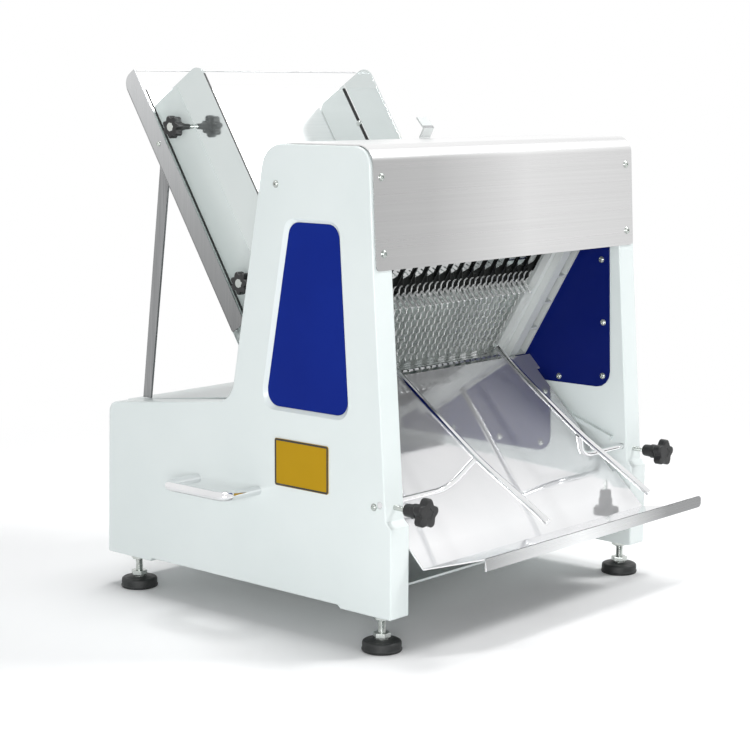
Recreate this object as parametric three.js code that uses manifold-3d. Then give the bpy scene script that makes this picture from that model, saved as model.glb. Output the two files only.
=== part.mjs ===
import * as THREE from 'three';
import { mergeVertices } from 'three/addons/utils/BufferGeometryUtils.js';
import Module from 'manifold-3d';

// Table-top bread slicer, in millimetres, +Z up, front towards -Y.
// Heights are measured from the underside of the side frames, and depths from their front foot.

// Overall frame
const clearWidth = 472;
const frameThickness = 34;
const frameDepth = 517;
const frameHeight = 564;
const footHeight = 45;
const seat = 0.3;
const overrun = 2;
const sheet = 1.5;
const middleDepth = 201;
const degree = Math.PI / 180;
const halfTurn = 180;
const fullTurn = 2 * halfTurn;

const innerHalf = clearWidth / 2;
const outerHalf = innerHalf + frameThickness;
const insideFace = innerHalf - seat;

// Side frame outline
const baseStepHeight = 112;
const baseStepDepth = 8;
const rearLean = 7;
const deckRearHeight = 209;
const deckFrontHeight = 236;
const deckFrontDepth = 272;
const uprightTopDepth = 209;
const hoodDrop = 146;
const frontMidHeight = frameHeight - hoodDrop;
const frontMidDepth = 28.6;
const frontTopDepth = 36;
const sideReliefHeight = 4;
const sideReliefFront = 83;
const sideReliefRear = 431;
const hoodInset = 4;
const topRearRadius = 34;
const topFrontRadius = 24;
const deckRadius = 15;
const throatRadius = 34;
const smallRadius = 3;

// Window in each side frame
const windowDepth = 6;
const windowHeadGap = 95;
const windowTop = frameHeight - windowHeadGap;
const windowBottom = 235;
const windowFront = 68;
const windowRear = 206;
const windowTopFront = 84;
const windowTopRear = 166;
const windowKnee = 262;
const windowRadius = 18;
const windowBevel = 4;
const coverSheet = 2;

// Inner covers
const innerCoverFront = 39;
const innerCoverRear = 208;
const innerCoverBottom = 219;
const innerCoverHeadGap = 64;
const innerCoverTop = frameHeight - innerCoverHeadGap;
const innerCoverRadius = 22;

// Infeed chute, set out from its foot behind the blades
const chuteSlope = 57.4;
const chuteFootDepth = 265.3;
const chuteFootHeight = 260.2;
const chuteTopHeight = 641.4;
const chuteRise = chuteTopHeight - chuteFootHeight;
const chuteLength = chuteRise / Math.sin(chuteSlope * degree);
const chuteTopDepth = chuteFootDepth + chuteRise / Math.tan(chuteSlope * degree);
const chuteHalf = innerHalf - 1;
const chuteLapLength = 14;
const chuteWallHeight = 25.5;
const chuteWallEnd = 70;
const chuteWallRadius = 16;
const crossBarRadius = 1.5;
const strutPlace = 142;
const strutWidth = 15;
const strutSheet = 3;
const strutFootInset = 43;
const strutFootDepth = frameDepth - strutFootInset;

// Chute guides: where the inner faces stand from the middle, and how far they can go
const guidePlaces = { left: 203, right: 120 };
const guideInmost = 120;
const guideOutmost = 207;
const guideTopGap = 44.5;
const guideFootGap = 22.5;
const guideHeight = 110;
const guideSheet = 3;
const guideRadius = 16;
const guideFlange = 23;
const upperKnobPlace = 107.5;
const lowerKnobGap = 113;
const lowerKnobPlace = chuteLength - lowerKnobGap;
const knobHeight = 54.5;
const guideBoltRadius = 3;
const guideBoltHeadRadius = 6;
const guideBoltHead = 2.5;
const slideNutRadius = 8;
const slideNut = 3;

// Star knobs
const guideKnobRadius = 15;
const guideKnobDepth = 18;
const guideKnobLobes = 7;
const guideKnobStandOff = 26;
const guideKnobHubDepth = 16;
const guideKnobHubRadius = 5.5;
const knobHubShare = 0.5;
const knobHubDepth = 4;
const clampKnobLobes = 5;
const lobeDepthShare = 0.17;
const clampKnobRadius = 18.5;
const clampKnobDepth = 17;
const clampStemRadius = 4;
const clampHeight = 135.5;
const clampStandOff = 28;

// Blades and the two frames that carry them
const bladeSlope = 59;
const bladeFootDepth = 204;
const bladeFootHeight = 276;
const bladeCount = 31;
const bladePitch = 12;
const bladeThickness = 1;
const bladeWidth = 13;
const toothPitch = 12;
const toothDepth = 2.2;
const bladeTopShare = 0.4013;
const bladeTop = frameHeight * bladeTopShare;
const bladeBottom = -102;
const bladeHeadLength = 98;
const cutFrom = -6;
const teeth = Math.floor((bladeTop - bladeHeadLength - cutFrom) / toothPitch);
const cutTo = cutFrom + teeth * toothPitch;
const bladeStroke = 40;
const clampBarHeight = 12;
const bladeBarHeight = 20;
const bladeBarDepth = 10;
const postWidth = 9;
const postHalfGap = 187;

// Combs and slide rails
const combToothGap = 1.5;
const combThickness = 3;
const lowerCombTop = chuteFootHeight - sheet;
const lowerCombRoot = 238;
const lowerCombRear = chuteFootDepth;
const lowerCombTip = 186;
const upperCombDrop = 173;
const upperCombHeight = frameHeight - upperCombDrop;
const upperCombSetBack = 51;
const upperCombRun = (upperCombHeight - bladeFootHeight) / Math.tan(bladeSlope * degree);
const upperCombDepth = bladeFootDepth - upperCombRun + upperCombSetBack;
const upperCombSlope = 30;
const upperCombRoot = 16;
const upperCombTooth = 42;
const railWidth = 37;
const railFront = 27;
const railBack = 14;
const railFrom = -10;
const railHeadGap = 30;
const railTo = bladeTop - railHeadGap;
const railRibPitch = 45;
const railRibThickness = 3;
const railLand = 17;
const railOuterWall = 3.5;
const railPocketDepth = 24;

// Outfeed tray
const trayHalf = insideFace - sheet - seat;
const traySlotWidth = 8;
const traySlotFront = 25;
const traySlotRear = 160;
const trayTopDepth = 178;
const trayTopHeight = 254;
const trayFoldDepth = -20;
const trayFoldHeight = 61;
const shelfReach = 36;
const shelfRise = 5;
const lipDrop = 16;
const lipLeftCut = 74;
const lipEar = 90;
const lipRadius = 6;
const ledgeFrontDepth = 34;
const ledgeFrontHeight = 147;
const ledgeRearDepth = 137;
const ledgeRearHeight = 182;
const ledgeHeight = 6;
const ledgeWidth = 7;

// Outfeed guide rails
const guideRailHalfGap = 110;
const guideRailRadius = 4;
const armHalfFoot = 142;
const armDepth = 18;
const armHeight = 139.5;
const armInward = 32;
const armForward = 17.5;
const armRise = 36;
const armBend = 24;
const railRearDepth = 141;
const railRearHeight = 280;
const railReach = 254;
const railFall = 168;
const railReachShares = [0, 0.189, 0.362, 0.579, 0.803, 1];
const railFallShares = [0, 0.22, 0.405, 0.631, 0.827, 1];

// Feet, handles and label plate
const footInsetFront = 29;
const footInsetRear = 44;
const padRadius = 25;
const padHeight = 15;
const studRadius = 6;
const studDepth = 24;
const nutRadius = 11;
const nutHeight = 7;
const handleSpan = 111;
const handleMiddleDepth = 279;
const handleHeight = 128;
const handleReach = 58;
const handleRadius = 6;
const handleBend = 17;
const labelFront = 101;
const labelRear = 192.5;
const labelBottom = 140;
const labelTop = 200;
const labelSheet = 0.8;
const pressTabPlace = -19;
const pressTabWidth = 20;
const pressTabSheet = 2;
const pressTabHeight = 26;
const pressTabLean = 6;

// Drive
const crankHeight = 92;
const shaftRadius = 12;
const throwRadius = bladeStroke / 2;
const eccentricRadius = 36;
const eccentricWidth = 8;
const strapWall = 8;
const rodEyeRadius = 10;
const rodShankWidth = 14;
const crankRodHalfGap = 198;
const crankRodPitch = 10;
const bearingWidth = 22;
const largePulleyRadius = 48;
const smallPulleyRadius = 20;
const pulleyWidth = 14;
const pulleyPlace = 86;
const beltThickness = 5;
const motorRoom = 87;
const beltCentres = 112;
const motorDepth = frameDepth - motorRoom;
const crankDepth = motorDepth - beltCentres;
const motorHeight = 92;
const motorRadius = 52;
const motorLength = 150;
const motorFootShare = 0.6;
const floorSheet = 3;

const wasm = await Module();
wasm.setup();

const slicer = new THREE.Group();

function solidOf(geometry) {
  const bare = geometry.clone();
  bare.deleteAttribute('normal');
  bare.deleteAttribute('uv');
  const merged = mergeVertices(bare, 1e-4);
  const corners = merged.index.array;
  const kept = [];
  for (let i = 0; i < corners.length; i += 3) {
    const [a, b, c] = [corners[i], corners[i + 1], corners[i + 2]];
    if (a !== b && b !== c && c !== a) kept.push(a, b, c);
  }
  return new wasm.Manifold(new wasm.Mesh({
    numProp: 3,
    vertProperties: new Float32Array(merged.attributes.position.array),
    triVerts: new Uint32Array(kept),
  }));
}

function geometryOf(solid) {
  const mesh = solid.getMesh();
  const geometry = new THREE.BufferGeometry();
  const positions = new Float32Array(mesh.vertProperties);
  geometry.setAttribute('position', new THREE.BufferAttribute(positions, 3));
  geometry.setIndex(new THREE.BufferAttribute(new Uint32Array(mesh.triVerts), 1));
  geometry.computeVertexNormals();
  return geometry;
}

function finish(color, roughness, metalness) {
  return new THREE.MeshStandardMaterial({ color, roughness, metalness });
}

const whitePaint = () => finish(0xdde3e0, 0.35, 0);
const bluePaint = () => finish(0x12287c, 0.3, 0);
const navyPaint = () => finish(0x0c1858, 0.35, 0);
const steel = () => finish(0xb9bcbe, 0.3, 0.9);
const mirrorSteel = () => finish(0xc8cacc, 0.1, 1);
const chrome = () => finish(0xd4d6d8, 0.08, 1);
const darkSteel = () => finish(0x5c5f61, 0.45, 0.7);
const blackPlastic = () => finish(0x17181a, 0.45, 0);
const blackRubber = () => finish(0x242626, 0.8, 0);
const labelYellow = () => finish(0xc9971a, 0.4, 0);
const castGrey = () => finish(0x8b8f90, 0.55, 0.5);

function add(name, solid, material, parent = slicer) {
  const mesh = new THREE.Mesh(geometryOf(solid), material);
  mesh.name = name;
  parent.add(mesh);
  return mesh;
}

// Shapes

const point = (x, y) => new THREE.Vector2(x, y);

function roundedOutline(corners) {
  const shape = new THREE.Shape();
  const count = corners.length;
  for (let i = 0; i < count; i += 1) {
    const [x, y, radius = 0] = corners[i];
    const here = point(x, y);
    const before = point(...corners[(i + count - 1) % count]).sub(here).normalize();
    const after = point(...corners[(i + 1) % count]).sub(here).normalize();
    const half = Math.acos(before.dot(after)) / 2;
    const reach = radius / Math.tan(half);
    const start = here.clone().addScaledVector(before, reach);
    if (i === 0) shape.moveTo(start.x, start.y);
    else shape.lineTo(start.x, start.y);
    if (radius > 0) {
      const middle = before.clone().add(after).normalize();
      const centre = here.clone().addScaledVector(middle, radius / Math.sin(half));
      const end = here.clone().addScaledVector(after, reach);
      const from = Math.atan2(start.y - centre.y, start.x - centre.x);
      const to = Math.atan2(end.y - centre.y, end.x - centre.x);
      const clockwise = before.x * after.y - before.y * after.x > 0;
      shape.absarc(centre.x, centre.y, radius, from, to, clockwise);
    }
  }
  shape.closePath();
  return shape;
}

function box(x0, x1, y0, y1, radius = 0) {
  return roundedOutline([[x0, y0, radius], [x1, y0, radius], [x1, y1, radius], [x0, y1, radius]]);
}

function ribbon(points, thickness) {
  const line = points.map(([x, y]) => point(x, y));
  const normals = line.slice(1).map((end, i) => {
    const step = end.clone().sub(line[i]).normalize();
    return point(-step.y, step.x);
  });
  const offset = line.map((place, i) => {
    const first = normals[Math.max(i - 1, 0)];
    const second = normals[Math.min(i, normals.length - 1)];
    const middle = first.clone().add(second).normalize();
    return place.clone().addScaledVector(middle, thickness / middle.dot(first));
  });
  return new THREE.Shape([...line, ...offset.reverse()]);
}

function arcPoints(centreX, centreY, radius, from, to, count) {
  const points = [];
  for (let i = 0; i <= count; i += 1) {
    const angle = (from + (to - from) * i / count) * degree;
    points.push([centreX + radius * Math.cos(angle), centreY + radius * Math.sin(angle)]);
  }
  return points;
}

// Solids

const onX = new THREE.Matrix4().set(0, 0, 1, 0, 1, 0, 0, 0, 0, 1, 0, 0, 0, 0, 0, 1);
const onY = new THREE.Matrix4().set(1, 0, 0, 0, 0, 0, -1, 0, 0, 1, 0, 0, 0, 0, 0, 1);

function alongZ(shape, from, to, curveSegments = 2) {
  const options = { depth: to - from, bevelEnabled: false, curveSegments };
  return new THREE.ExtrudeGeometry(shape, options).translate(0, 0, from);
}

function alongX(shape, from, to, curveSegments = 2) {
  return alongZ(shape, from, to, curveSegments).applyMatrix4(onX);
}

function alongY(shape, from, to, curveSegments = 2) {
  return alongZ(shape, -to, -from, curveSegments).applyMatrix4(onY);
}

function turned(profile, segments = 12) {
  const outline = profile.map(([radius, height]) => point(radius, height));
  return new THREE.LatheGeometry(outline, segments).rotateX(90 * degree);
}

function roundBar(radius, length, segments = 16) {
  return new THREE.CylinderGeometry(radius, radius, length, segments);
}

function barX(radius, from, to, y, z, segments = 16) {
  const bar = roundBar(radius, to - from, segments).rotateZ(90 * degree);
  return bar.translate((from + to) / 2, y, z);
}

function barY(radius, from, to, x, z, segments = 16) {
  return roundBar(radius, to - from, segments).translate(x, (from + to) / 2, z);
}

function barZ(radius, from, to, x, y, segments = 16) {
  const bar = roundBar(radius, to - from, segments).rotateX(90 * degree);
  return bar.translate(x, y, (from + to) / 2);
}

// A path through chosen stations, so that straight runs take no more rings than bends need

class StationPath extends THREE.Curve {
  constructor(stations) {
    super();
    this.stations = stations;
  }

  place(share, step) {
    const last = this.stations.length - 1;
    return this.stations[Math.min(Math.max(Math.round(share * last) + step, 0), last)].clone();
  }

  getPointAt(share) {
    return this.place(share, 0);
  }

  getTangentAt(share) {
    return this.place(share, 1).sub(this.place(share, -1)).normalize();
  }
}

function rodAlong(stations, radius) {
  const section = new THREE.Shape();
  section.absarc(0, 0, radius, 0, 2 * Math.PI, false);
  const extrudePath = new StationPath(stations);
  const options = { extrudePath, steps: stations.length - 1, curveSegments: 4 };
  return new THREE.ExtrudeGeometry(section, options);
}

function bentRod(points, bendRadius, radius) {
  const stations = [points[0]];
  for (let i = 1; i < points.length - 1; i += 1) {
    const corner = points[i];
    const before = points[i - 1].clone().sub(corner).setLength(bendRadius).add(corner);
    const after = points[i + 1].clone().sub(corner).setLength(bendRadius).add(corner);
    stations.push(...new THREE.QuadraticBezierCurve3(before, corner, after).getPoints(5));
  }
  stations.push(points[points.length - 1]);
  return rodAlong(stations, radius);
}

const sideName = (side) => (side < 0 ? 'left' : 'right');
const spanX = (side, inner, outer) => (side < 0 ? [-outer, -inner] : [inner, outer]);

// Side frames, mirror images of one another

const throatPoint = [deckFrontDepth - seat, deckFrontHeight];

function frontEdgeDepth(height) {
  const lowSlope = (frontMidDepth - baseStepDepth) / (frontMidHeight - baseStepHeight);
  const highSlope = (frontTopDepth - frontMidDepth) / (frameHeight - frontMidHeight);
  if (height < frontMidHeight) return baseStepDepth + (height - baseStepHeight) * lowSlope;
  return frontMidDepth + (height - frontMidHeight) * highSlope;
}

function frameOutline() {
  const deckSlopeEnd = frameDepth - rearLean;
  return roundedOutline([
    [0, 0, smallRadius],
    [sideReliefFront, 0],
    [sideReliefFront + sideReliefHeight, sideReliefHeight],
    [sideReliefRear - sideReliefHeight, sideReliefHeight],
    [sideReliefRear, 0],
    [frameDepth, 0, smallRadius],
    [deckSlopeEnd, deckRearHeight, deckRadius],
    [throatPoint[0], throatPoint[1], throatRadius],
    [uprightTopDepth, frameHeight, topRearRadius],
    [frontTopDepth, frameHeight, topFrontRadius],
    [frontMidDepth, frontMidHeight],
    [baseStepDepth, baseStepHeight + baseStepDepth],
    [0, baseStepHeight],
  ]);
}

function windowCorners(inset) {
  return [
    [windowFront + inset, windowBottom + inset, windowRadius],
    [windowRear - inset, windowBottom + inset, windowRadius],
    [windowRear - inset, windowKnee],
    [windowTopRear - inset, windowTop - inset, windowRadius],
    [windowTopFront + inset, windowTop - inset, windowRadius],
  ];
}

function windowCut(side) {
  const shape = roundedOutline(windowCorners(windowBevel));
  const cut = new THREE.ExtrudeGeometry(shape, {
    depth: overrun,
    bevelThickness: windowBevel,
    bevelSize: windowBevel,
    bevelSegments: 1,
    curveSegments: 2,
  });
  const pocket = alongZ(shape, -windowDepth, 0);
  const both = solidOf(cut).add(solidOf(pocket));
  const placed = both.transform(onX.toArray());
  return side < 0 ? placed.mirror([1, 0, 0]).translate([-outerHalf, 0, 0])
    : placed.translate([outerHalf, 0, 0]);
}

function footDepths() {
  return { front: footInsetFront, rear: frameDepth - footInsetRear };
}

const footX = outerHalf - frameThickness / 2 - seat;

function sideFrame(side) {
  const [from, to] = spanX(side, innerHalf, outerHalf);
  let frame = solidOf(alongX(frameOutline(), from, to, 3)).subtract(windowCut(side));
  const rodHole = barX(guideRailRadius + seat, from - overrun, to + overrun, armDepth, armHeight);
  const stemHole = barY(clampStemRadius + seat, -overrun, armDepth, side * footX, clampHeight);
  frame = frame.subtract(solidOf(rodHole)).subtract(solidOf(stemHole));
  for (const depth of Object.values(footDepths())) {
    const hole = barZ(studRadius + seat, -overrun, studDepth + seat, side * footX, depth);
    frame = frame.subtract(solidOf(hole));
  }
  add(`side_frame_${sideName(side)}`, frame, whitePaint());
}

function windowCover(side) {
  const shape = roundedOutline(windowCorners(windowBevel + seat));
  const face = outerHalf - windowDepth + seat;
  const [from, to] = spanX(side, face, face + coverSheet);
  add(`window_cover_${sideName(side)}`, solidOf(alongX(shape, from, to)), bluePaint());
}

function innerCover(side) {
  const shape = roundedOutline([
    [innerCoverFront, innerCoverBottom, innerCoverRadius],
    [innerCoverRear, innerCoverBottom, smallRadius],
    [uprightTopDepth - topRearRadius, innerCoverTop, smallRadius],
    [innerCoverFront + baseStepDepth, innerCoverTop, smallRadius],
  ]);
  const [from, to] = spanX(side, insideFace - sheet, insideFace);
  add(`inner_cover_${sideName(side)}`, solidOf(alongX(shape, from, to)), navyPaint());
}

// Hood over the top and front

const hoodHalf = outerHalf - hoodInset;
const hoodBottom = frontMidHeight;
const hoodRear = uprightTopDepth - topRearRadius;

function hood() {
  const lowDepth = frontEdgeDepth(hoodBottom) - seat;
  const highDepth = frontEdgeDepth(frameHeight - topFrontRadius) - seat;
  const top = frameHeight + seat;
  const radius = topFrontRadius - 2 * sheet;
  const bend = arcPoints(highDepth + radius, top - radius, radius, halfTurn, halfTurn / 2, 6);
  const line = [[lowDepth, hoodBottom], ...bend, [hoodRear, top]];
  const body = solidOf(alongX(ribbon(line, sheet), -hoodHalf, hoodHalf));
  add('hood', body, steel());
}

// Housing behind the blades: deck and rear in one bent sheet, and a floor plate

function housing() {
  const rear = frameDepth - sheet - seat;
  const line = [
    [rear, sideReliefHeight + floorSheet + seat],
    [rear - rearLean, deckRearHeight - sheet],
    [deckFrontDepth + throatRadius / 2, deckFrontHeight - sheet],
  ];
  const body = solidOf(alongX(ribbon(line, -sheet), -insideFace, insideFace));
  add('rear_cover', body, whitePaint());
}

function floorPlate() {
  const front = sideReliefFront;
  const rear = frameDepth - sheet;
  const shape = box(front, rear, sideReliefHeight, sideReliefHeight + floorSheet);
  add('floor_plate', solidOf(alongX(shape, -insideFace, insideFace)), darkSteel());
}

// Infeed chute, modelled flat: x across, y up the slope, z square to the floor

const chute = new THREE.Group();
chute.position.set(0, chuteTopDepth, chuteTopHeight);
chute.rotation.x = chuteSlope * degree;
slicer.add(chute);

function chuteTray() {
  const flat = alongZ(box(-chuteHalf, chuteHalf, -chuteLength, -chuteLapLength), -sheet, 0);
  let tray = solidOf(flat);
  const barHeight = chuteWallHeight - crossBarRadius;
  const crossBar = barX(crossBarRadius, -chuteHalf, chuteHalf, -crossBarRadius, barHeight, 8);
  tray = tray.add(solidOf(crossBar));
  for (const side of [-1, 1]) {
    const [from, to] = spanX(side, chuteHalf - sheet, chuteHalf);
    const wall = roundedOutline([
      [-chuteLength + chuteWallEnd, -sheet],
      [0, -sheet, smallRadius],
      [0, chuteWallHeight],
      [-chuteLength + chuteWallEnd, chuteWallHeight, chuteWallRadius],
    ]);
    tray = tray.add(solidOf(alongX(wall, from, to)));
    const wide = guideBoltRadius + seat;
    const reach = guideSheet + (guideFlange - guideSheet) / 2;
    const [near, far] = spanX(side, guideInmost + reach - wide, guideOutmost + reach + wide);
    for (const place of [upperKnobPlace, lowerKnobPlace]) {
      const slot = box(near, far, -place - wide, -place + wide);
      tray = tray.subtract(solidOf(alongZ(slot, -sheet - overrun, overrun)));
    }
  }
  add('infeed_chute', tray, steel(), chute);
}

// Each guide is one bent sheet: an upright face and a foot that lies on the chute

function chuteGuide(side) {
  const top = -guideTopGap;
  const bottom = guideFootGap - chuteLength;
  const at = guidePlaces[sideName(side)];
  const face = roundedOutline([
    [bottom, seat],
    [top, seat],
    [top, guideHeight, guideRadius],
    [bottom, guideHeight, guideRadius],
  ]);
  const [inner, outer] = spanX(side, at, at + guideSheet);
  const [from, to] = spanX(side, at, at + guideFlange);
  const foot = alongZ(box(from, to, bottom, top), seat, seat + guideSheet);
  let guide = solidOf(alongX(face, inner, outer)).add(solidOf(foot));
  const bore = guideBoltRadius + seat;
  const boltPlace = side * (at + guideSheet + (guideFlange - guideSheet) / 2);
  for (const place of [upperKnobPlace, lowerKnobPlace]) {
    const knobHole = barX(bore, inner - overrun, outer + overrun, -place, knobHeight, 10);
    const boltHole = barZ(bore, -overrun, guideSheet + overrun, boltPlace, -place, 10);
    guide = guide.subtract(solidOf(knobHole)).subtract(solidOf(boltHole));
  }
  add(`chute_guide_${sideName(side)}`, guide, mirrorSteel(), chute);
}

// A star knob that stands along +Z, with its hub at z = 0

function starKnob(radius, depth, lobes) {
  const outline = [];
  const steps = lobes * 3;
  for (let i = 0; i < steps; i += 1) {
    const turn = 2 * Math.PI * i / steps;
    const reach = radius * (1 - lobeDepthShare * (1 - Math.cos(turn * lobes)) / 2);
    outline.push(point(reach * Math.cos(turn), reach * Math.sin(turn)));
  }
  const grip = alongZ(new THREE.Shape(outline), knobHubDepth, depth);
  const hub = barZ(radius * knobHubShare, 0, depth / 2, 0, 0, 10);
  return solidOf(grip).add(solidOf(hub));
}

// Knob, hub and bolt in one, with z = 0 on the inner face of the guide

function chuteKnob(side, place, name) {
  const hubFrom = guideKnobStandOff - guideKnobHubDepth;
  const hub = barZ(guideKnobHubRadius, hubFrom, guideKnobStandOff + overrun, 0, 0, 10);
  const shank = barZ(guideBoltRadius, -seat - guideBoltHead / 2, hubFrom + overrun, 0, 0, 10);
  const head = barZ(guideBoltHeadRadius, -seat - guideBoltHead, -seat, 0, 0, 12);
  let knob = starKnob(guideKnobRadius, guideKnobDepth, guideKnobLobes);
  knob = knob.translate([0, 0, guideKnobStandOff]);
  for (const piece of [hub, shank, head]) knob = knob.add(solidOf(piece));
  const mesh = add(`chute_knob_${name}_${sideName(side)}`, knob, blackPlastic(), chute);
  mesh.position.set(side * guidePlaces[sideName(side)], -place, knobHeight);
  mesh.rotation.y = side * 90 * degree;
}

// Bolt through the foot of a guide and a cross slot of the chute, with its nut below

function slideBolt(side, place, name) {
  const under = -sheet - seat;
  const onFoot = seat + guideSheet + seat;
  const head = barZ(guideBoltHeadRadius, onFoot, onFoot + guideBoltHead, 0, 0, 6);
  const shank = barZ(guideBoltRadius, under - slideNut / 2, onFoot + guideBoltHead / 2, 0, 0, 10);
  const nut = barZ(slideNutRadius, under - slideNut, under, 0, 0, 6);
  const bolt = solidOf(head).add(solidOf(shank)).add(solidOf(nut));
  const mesh = add(`slide_bolt_${name}_${sideName(side)}`, bolt, steel(), chute);
  const reach = guideSheet + (guideFlange - guideSheet) / 2;
  mesh.position.set(side * (guidePlaces[sideName(side)] + reach), -place, 0);
}

// Flat straps from the underside of the chute down to the deck

function chuteStrut(side) {
  const slope = chuteSlope * degree;
  const topDepth = chuteTopDepth - strutPlace * Math.cos(slope);
  const underAt = (depth) => {
    const floorHeight = chuteTopHeight - (chuteTopDepth - depth) * Math.tan(slope);
    return floorHeight - (sheet + seat) / Math.cos(slope);
  };
  const deckFall = (deckFrontHeight - deckRearHeight) / (frameDepth - rearLean - deckFrontDepth);
  const deckAt = (depth) => deckRearHeight + (frameDepth - rearLean - depth) * deckFall;
  const half = strutWidth / 2;
  const shape = new THREE.Shape([
    point(strutFootDepth - half, deckAt(strutFootDepth - half) + seat),
    point(strutFootDepth + half, deckAt(strutFootDepth - half) + seat),
    point(topDepth + half, underAt(topDepth + half)),
    point(topDepth - half, underAt(topDepth - half)),
  ]);
  const outer = chuteHalf - sheet - seat;
  const [from, to] = spanX(side, outer - strutSheet, outer);
  add(`chute_strut_${sideName(side)}`, solidOf(alongX(shape, from, to)), darkSteel());
}

// Blades, modelled flat: x across, y up the blade, z square to the blades, to the front

const blades = new THREE.Group();
blades.position.set(0, bladeFootDepth, bladeFootHeight);
blades.rotation.x = (halfTurn - bladeSlope) * degree;
slicer.add(blades);

const tongueGap = seat * 2;

// The cutting edge faces the chute: pointed crests with a valley between each two

function cuttingEdge(half) {
  const points = [];
  const count = Math.round((cutTo - cutFrom) / toothPitch);
  for (let i = 0; i < count; i += 1) {
    const start = cutFrom + i * toothPitch;
    points.push(point(start, -half), point(start + toothPitch / 2, toothDepth - half));
  }
  points.push(point(cutFrom + count * toothPitch, -half));
  return points;
}

function bladeOutline(facing) {
  const half = bladeWidth / 2;
  const back = cuttingEdge(half).reverse();
  const inner = facing * tongueGap;
  const outer = facing * half;
  const top = bladeTop - clampBarHeight / 2;
  const bottom = bladeBottom + clampBarHeight / 2;
  const [highFront, highBack] = facing > 0 ? [outer, inner] : [inner, outer];
  return new THREE.Shape([
    point(cutFrom, half),
    point(cutTo, half),
    point(cutTo + toothPitch, highFront),
    point(top, highFront),
    point(top, highBack),
    point(cutTo + toothPitch, highBack),
    ...back,
    point(cutFrom - toothPitch, highBack),
    point(bottom, highBack),
    point(bottom, highFront),
    point(cutFrom - toothPitch, highFront),
  ]);
}

function bladeSet(name, facing, first) {
  const outline = bladeOutline(facing);
  const half = (bladeCount - 1) / 2;
  const reach = half * bladePitch + bladePitch / 3;
  const [from, to] = facing > 0 ? [tongueGap, bladeWidth / 2] : [-bladeWidth / 2, -tongueGap];
  let set = null;
  for (const low of [bladeBottom, bladeTop - clampBarHeight]) {
    const bar = solidOf(alongZ(box(-reach, reach, low, low + clampBarHeight), from, to));
    set = set ? set.add(bar) : bar;
  }
  for (let i = first; i < bladeCount; i += 2) {
    const place = (i - half) * bladePitch;
    const edge = bladeThickness / 2;
    set = set.add(solidOf(alongX(outline, place - edge, place + edge)));
  }
  add(name, set, steel(), blades);
}

function bladeFrame(name, facing) {
  const outerX = postHalfGap + postWidth;
  const top = bladeTop + clampBarHeight / 6;
  const bottom = bladeBottom - clampBarHeight / 6;
  const ring = box(-outerX, outerX, bottom, top, smallRadius);
  const opening = box(-postHalfGap, postHalfGap, bottom + bladeBarHeight, top - bladeBarHeight, smallRadius);
  ring.holes.push(new THREE.Path(opening.getPoints(4).reverse()));
  const near = bladeWidth / 2 + seat;
  const [from, to] = facing > 0 ? [near, near + bladeBarDepth] : [-near - bladeBarDepth, -near];
  add(name, solidOf(alongZ(ring, from, to)), steel(), blades);
}

// Slide rails beside the blade frames: ribbed channels open to the front

function slideRail(side) {
  const outer = insideFace - sheet - seat;
  const inner = outer - railWidth;
  const [from, to] = spanX(side, inner, outer);
  let rail = solidOf(alongZ(box(from, to, railFrom, railTo), -railBack, railFront));
  const pocketInner = inner + railLand;
  const pocketOuter = outer - railOuterWall;
  const [low, high] = spanX(side, pocketInner, pocketOuter);
  const count = Math.floor((railTo - railFrom) / railRibPitch);
  for (let i = 0; i < count; i += 1) {
    const start = railFrom + railRibThickness + i * railRibPitch;
    const end = start + railRibPitch - railRibThickness;
    const pocket = alongZ(box(low, high, start, end), railFront - railPocketDepth, railFront + overrun);
    rail = rail.subtract(solidOf(pocket));
  }
  add(`slide_rail_${sideName(side)}`, rail, castGrey(), blades);
}

// Combs: bars that stand between the blades, on a root bar behind them

function combOutline(rootFrom, rootTo, tip, rootHalf) {
  const points = [point(-rootHalf, rootTo), point(-rootHalf, rootFrom)];
  const tooth = bladePitch / 2 - bladeThickness / 2 - combToothGap;
  const half = (bladeCount - 2) / 2;
  for (let i = 0; i < bladeCount - 1; i += 1) {
    const place = (i - half) * bladePitch;
    points.push(point(place - tooth, rootFrom), point(place - tooth, tip));
    points.push(point(place + tooth, tip), point(place + tooth, rootFrom));
  }
  points.push(point(rootHalf, rootFrom), point(rootHalf, rootTo));
  return new THREE.Shape(points.reverse());
}

function lowerComb() {
  const shape = combOutline(lowerCombRoot, lowerCombRear, lowerCombTip, insideFace);
  const body = alongZ(shape, lowerCombTop - combThickness, lowerCombTop);
  add('lower_comb', solidOf(body), steel());
}

function upperComb() {
  const half = insideFace - sheet - seat;
  const shape = combOutline(0, upperCombRoot, -upperCombTooth, half);
  const body = alongZ(shape, -combThickness / 2, combThickness / 2);
  const comb = add('upper_comb', solidOf(body), steel());
  comb.rotation.x = upperCombSlope * degree;
  comb.position.set(0, upperCombDepth, upperCombHeight);
}

// Outfeed tray: sloping floor, shelf with a turned-down lip that runs out to the right

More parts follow.
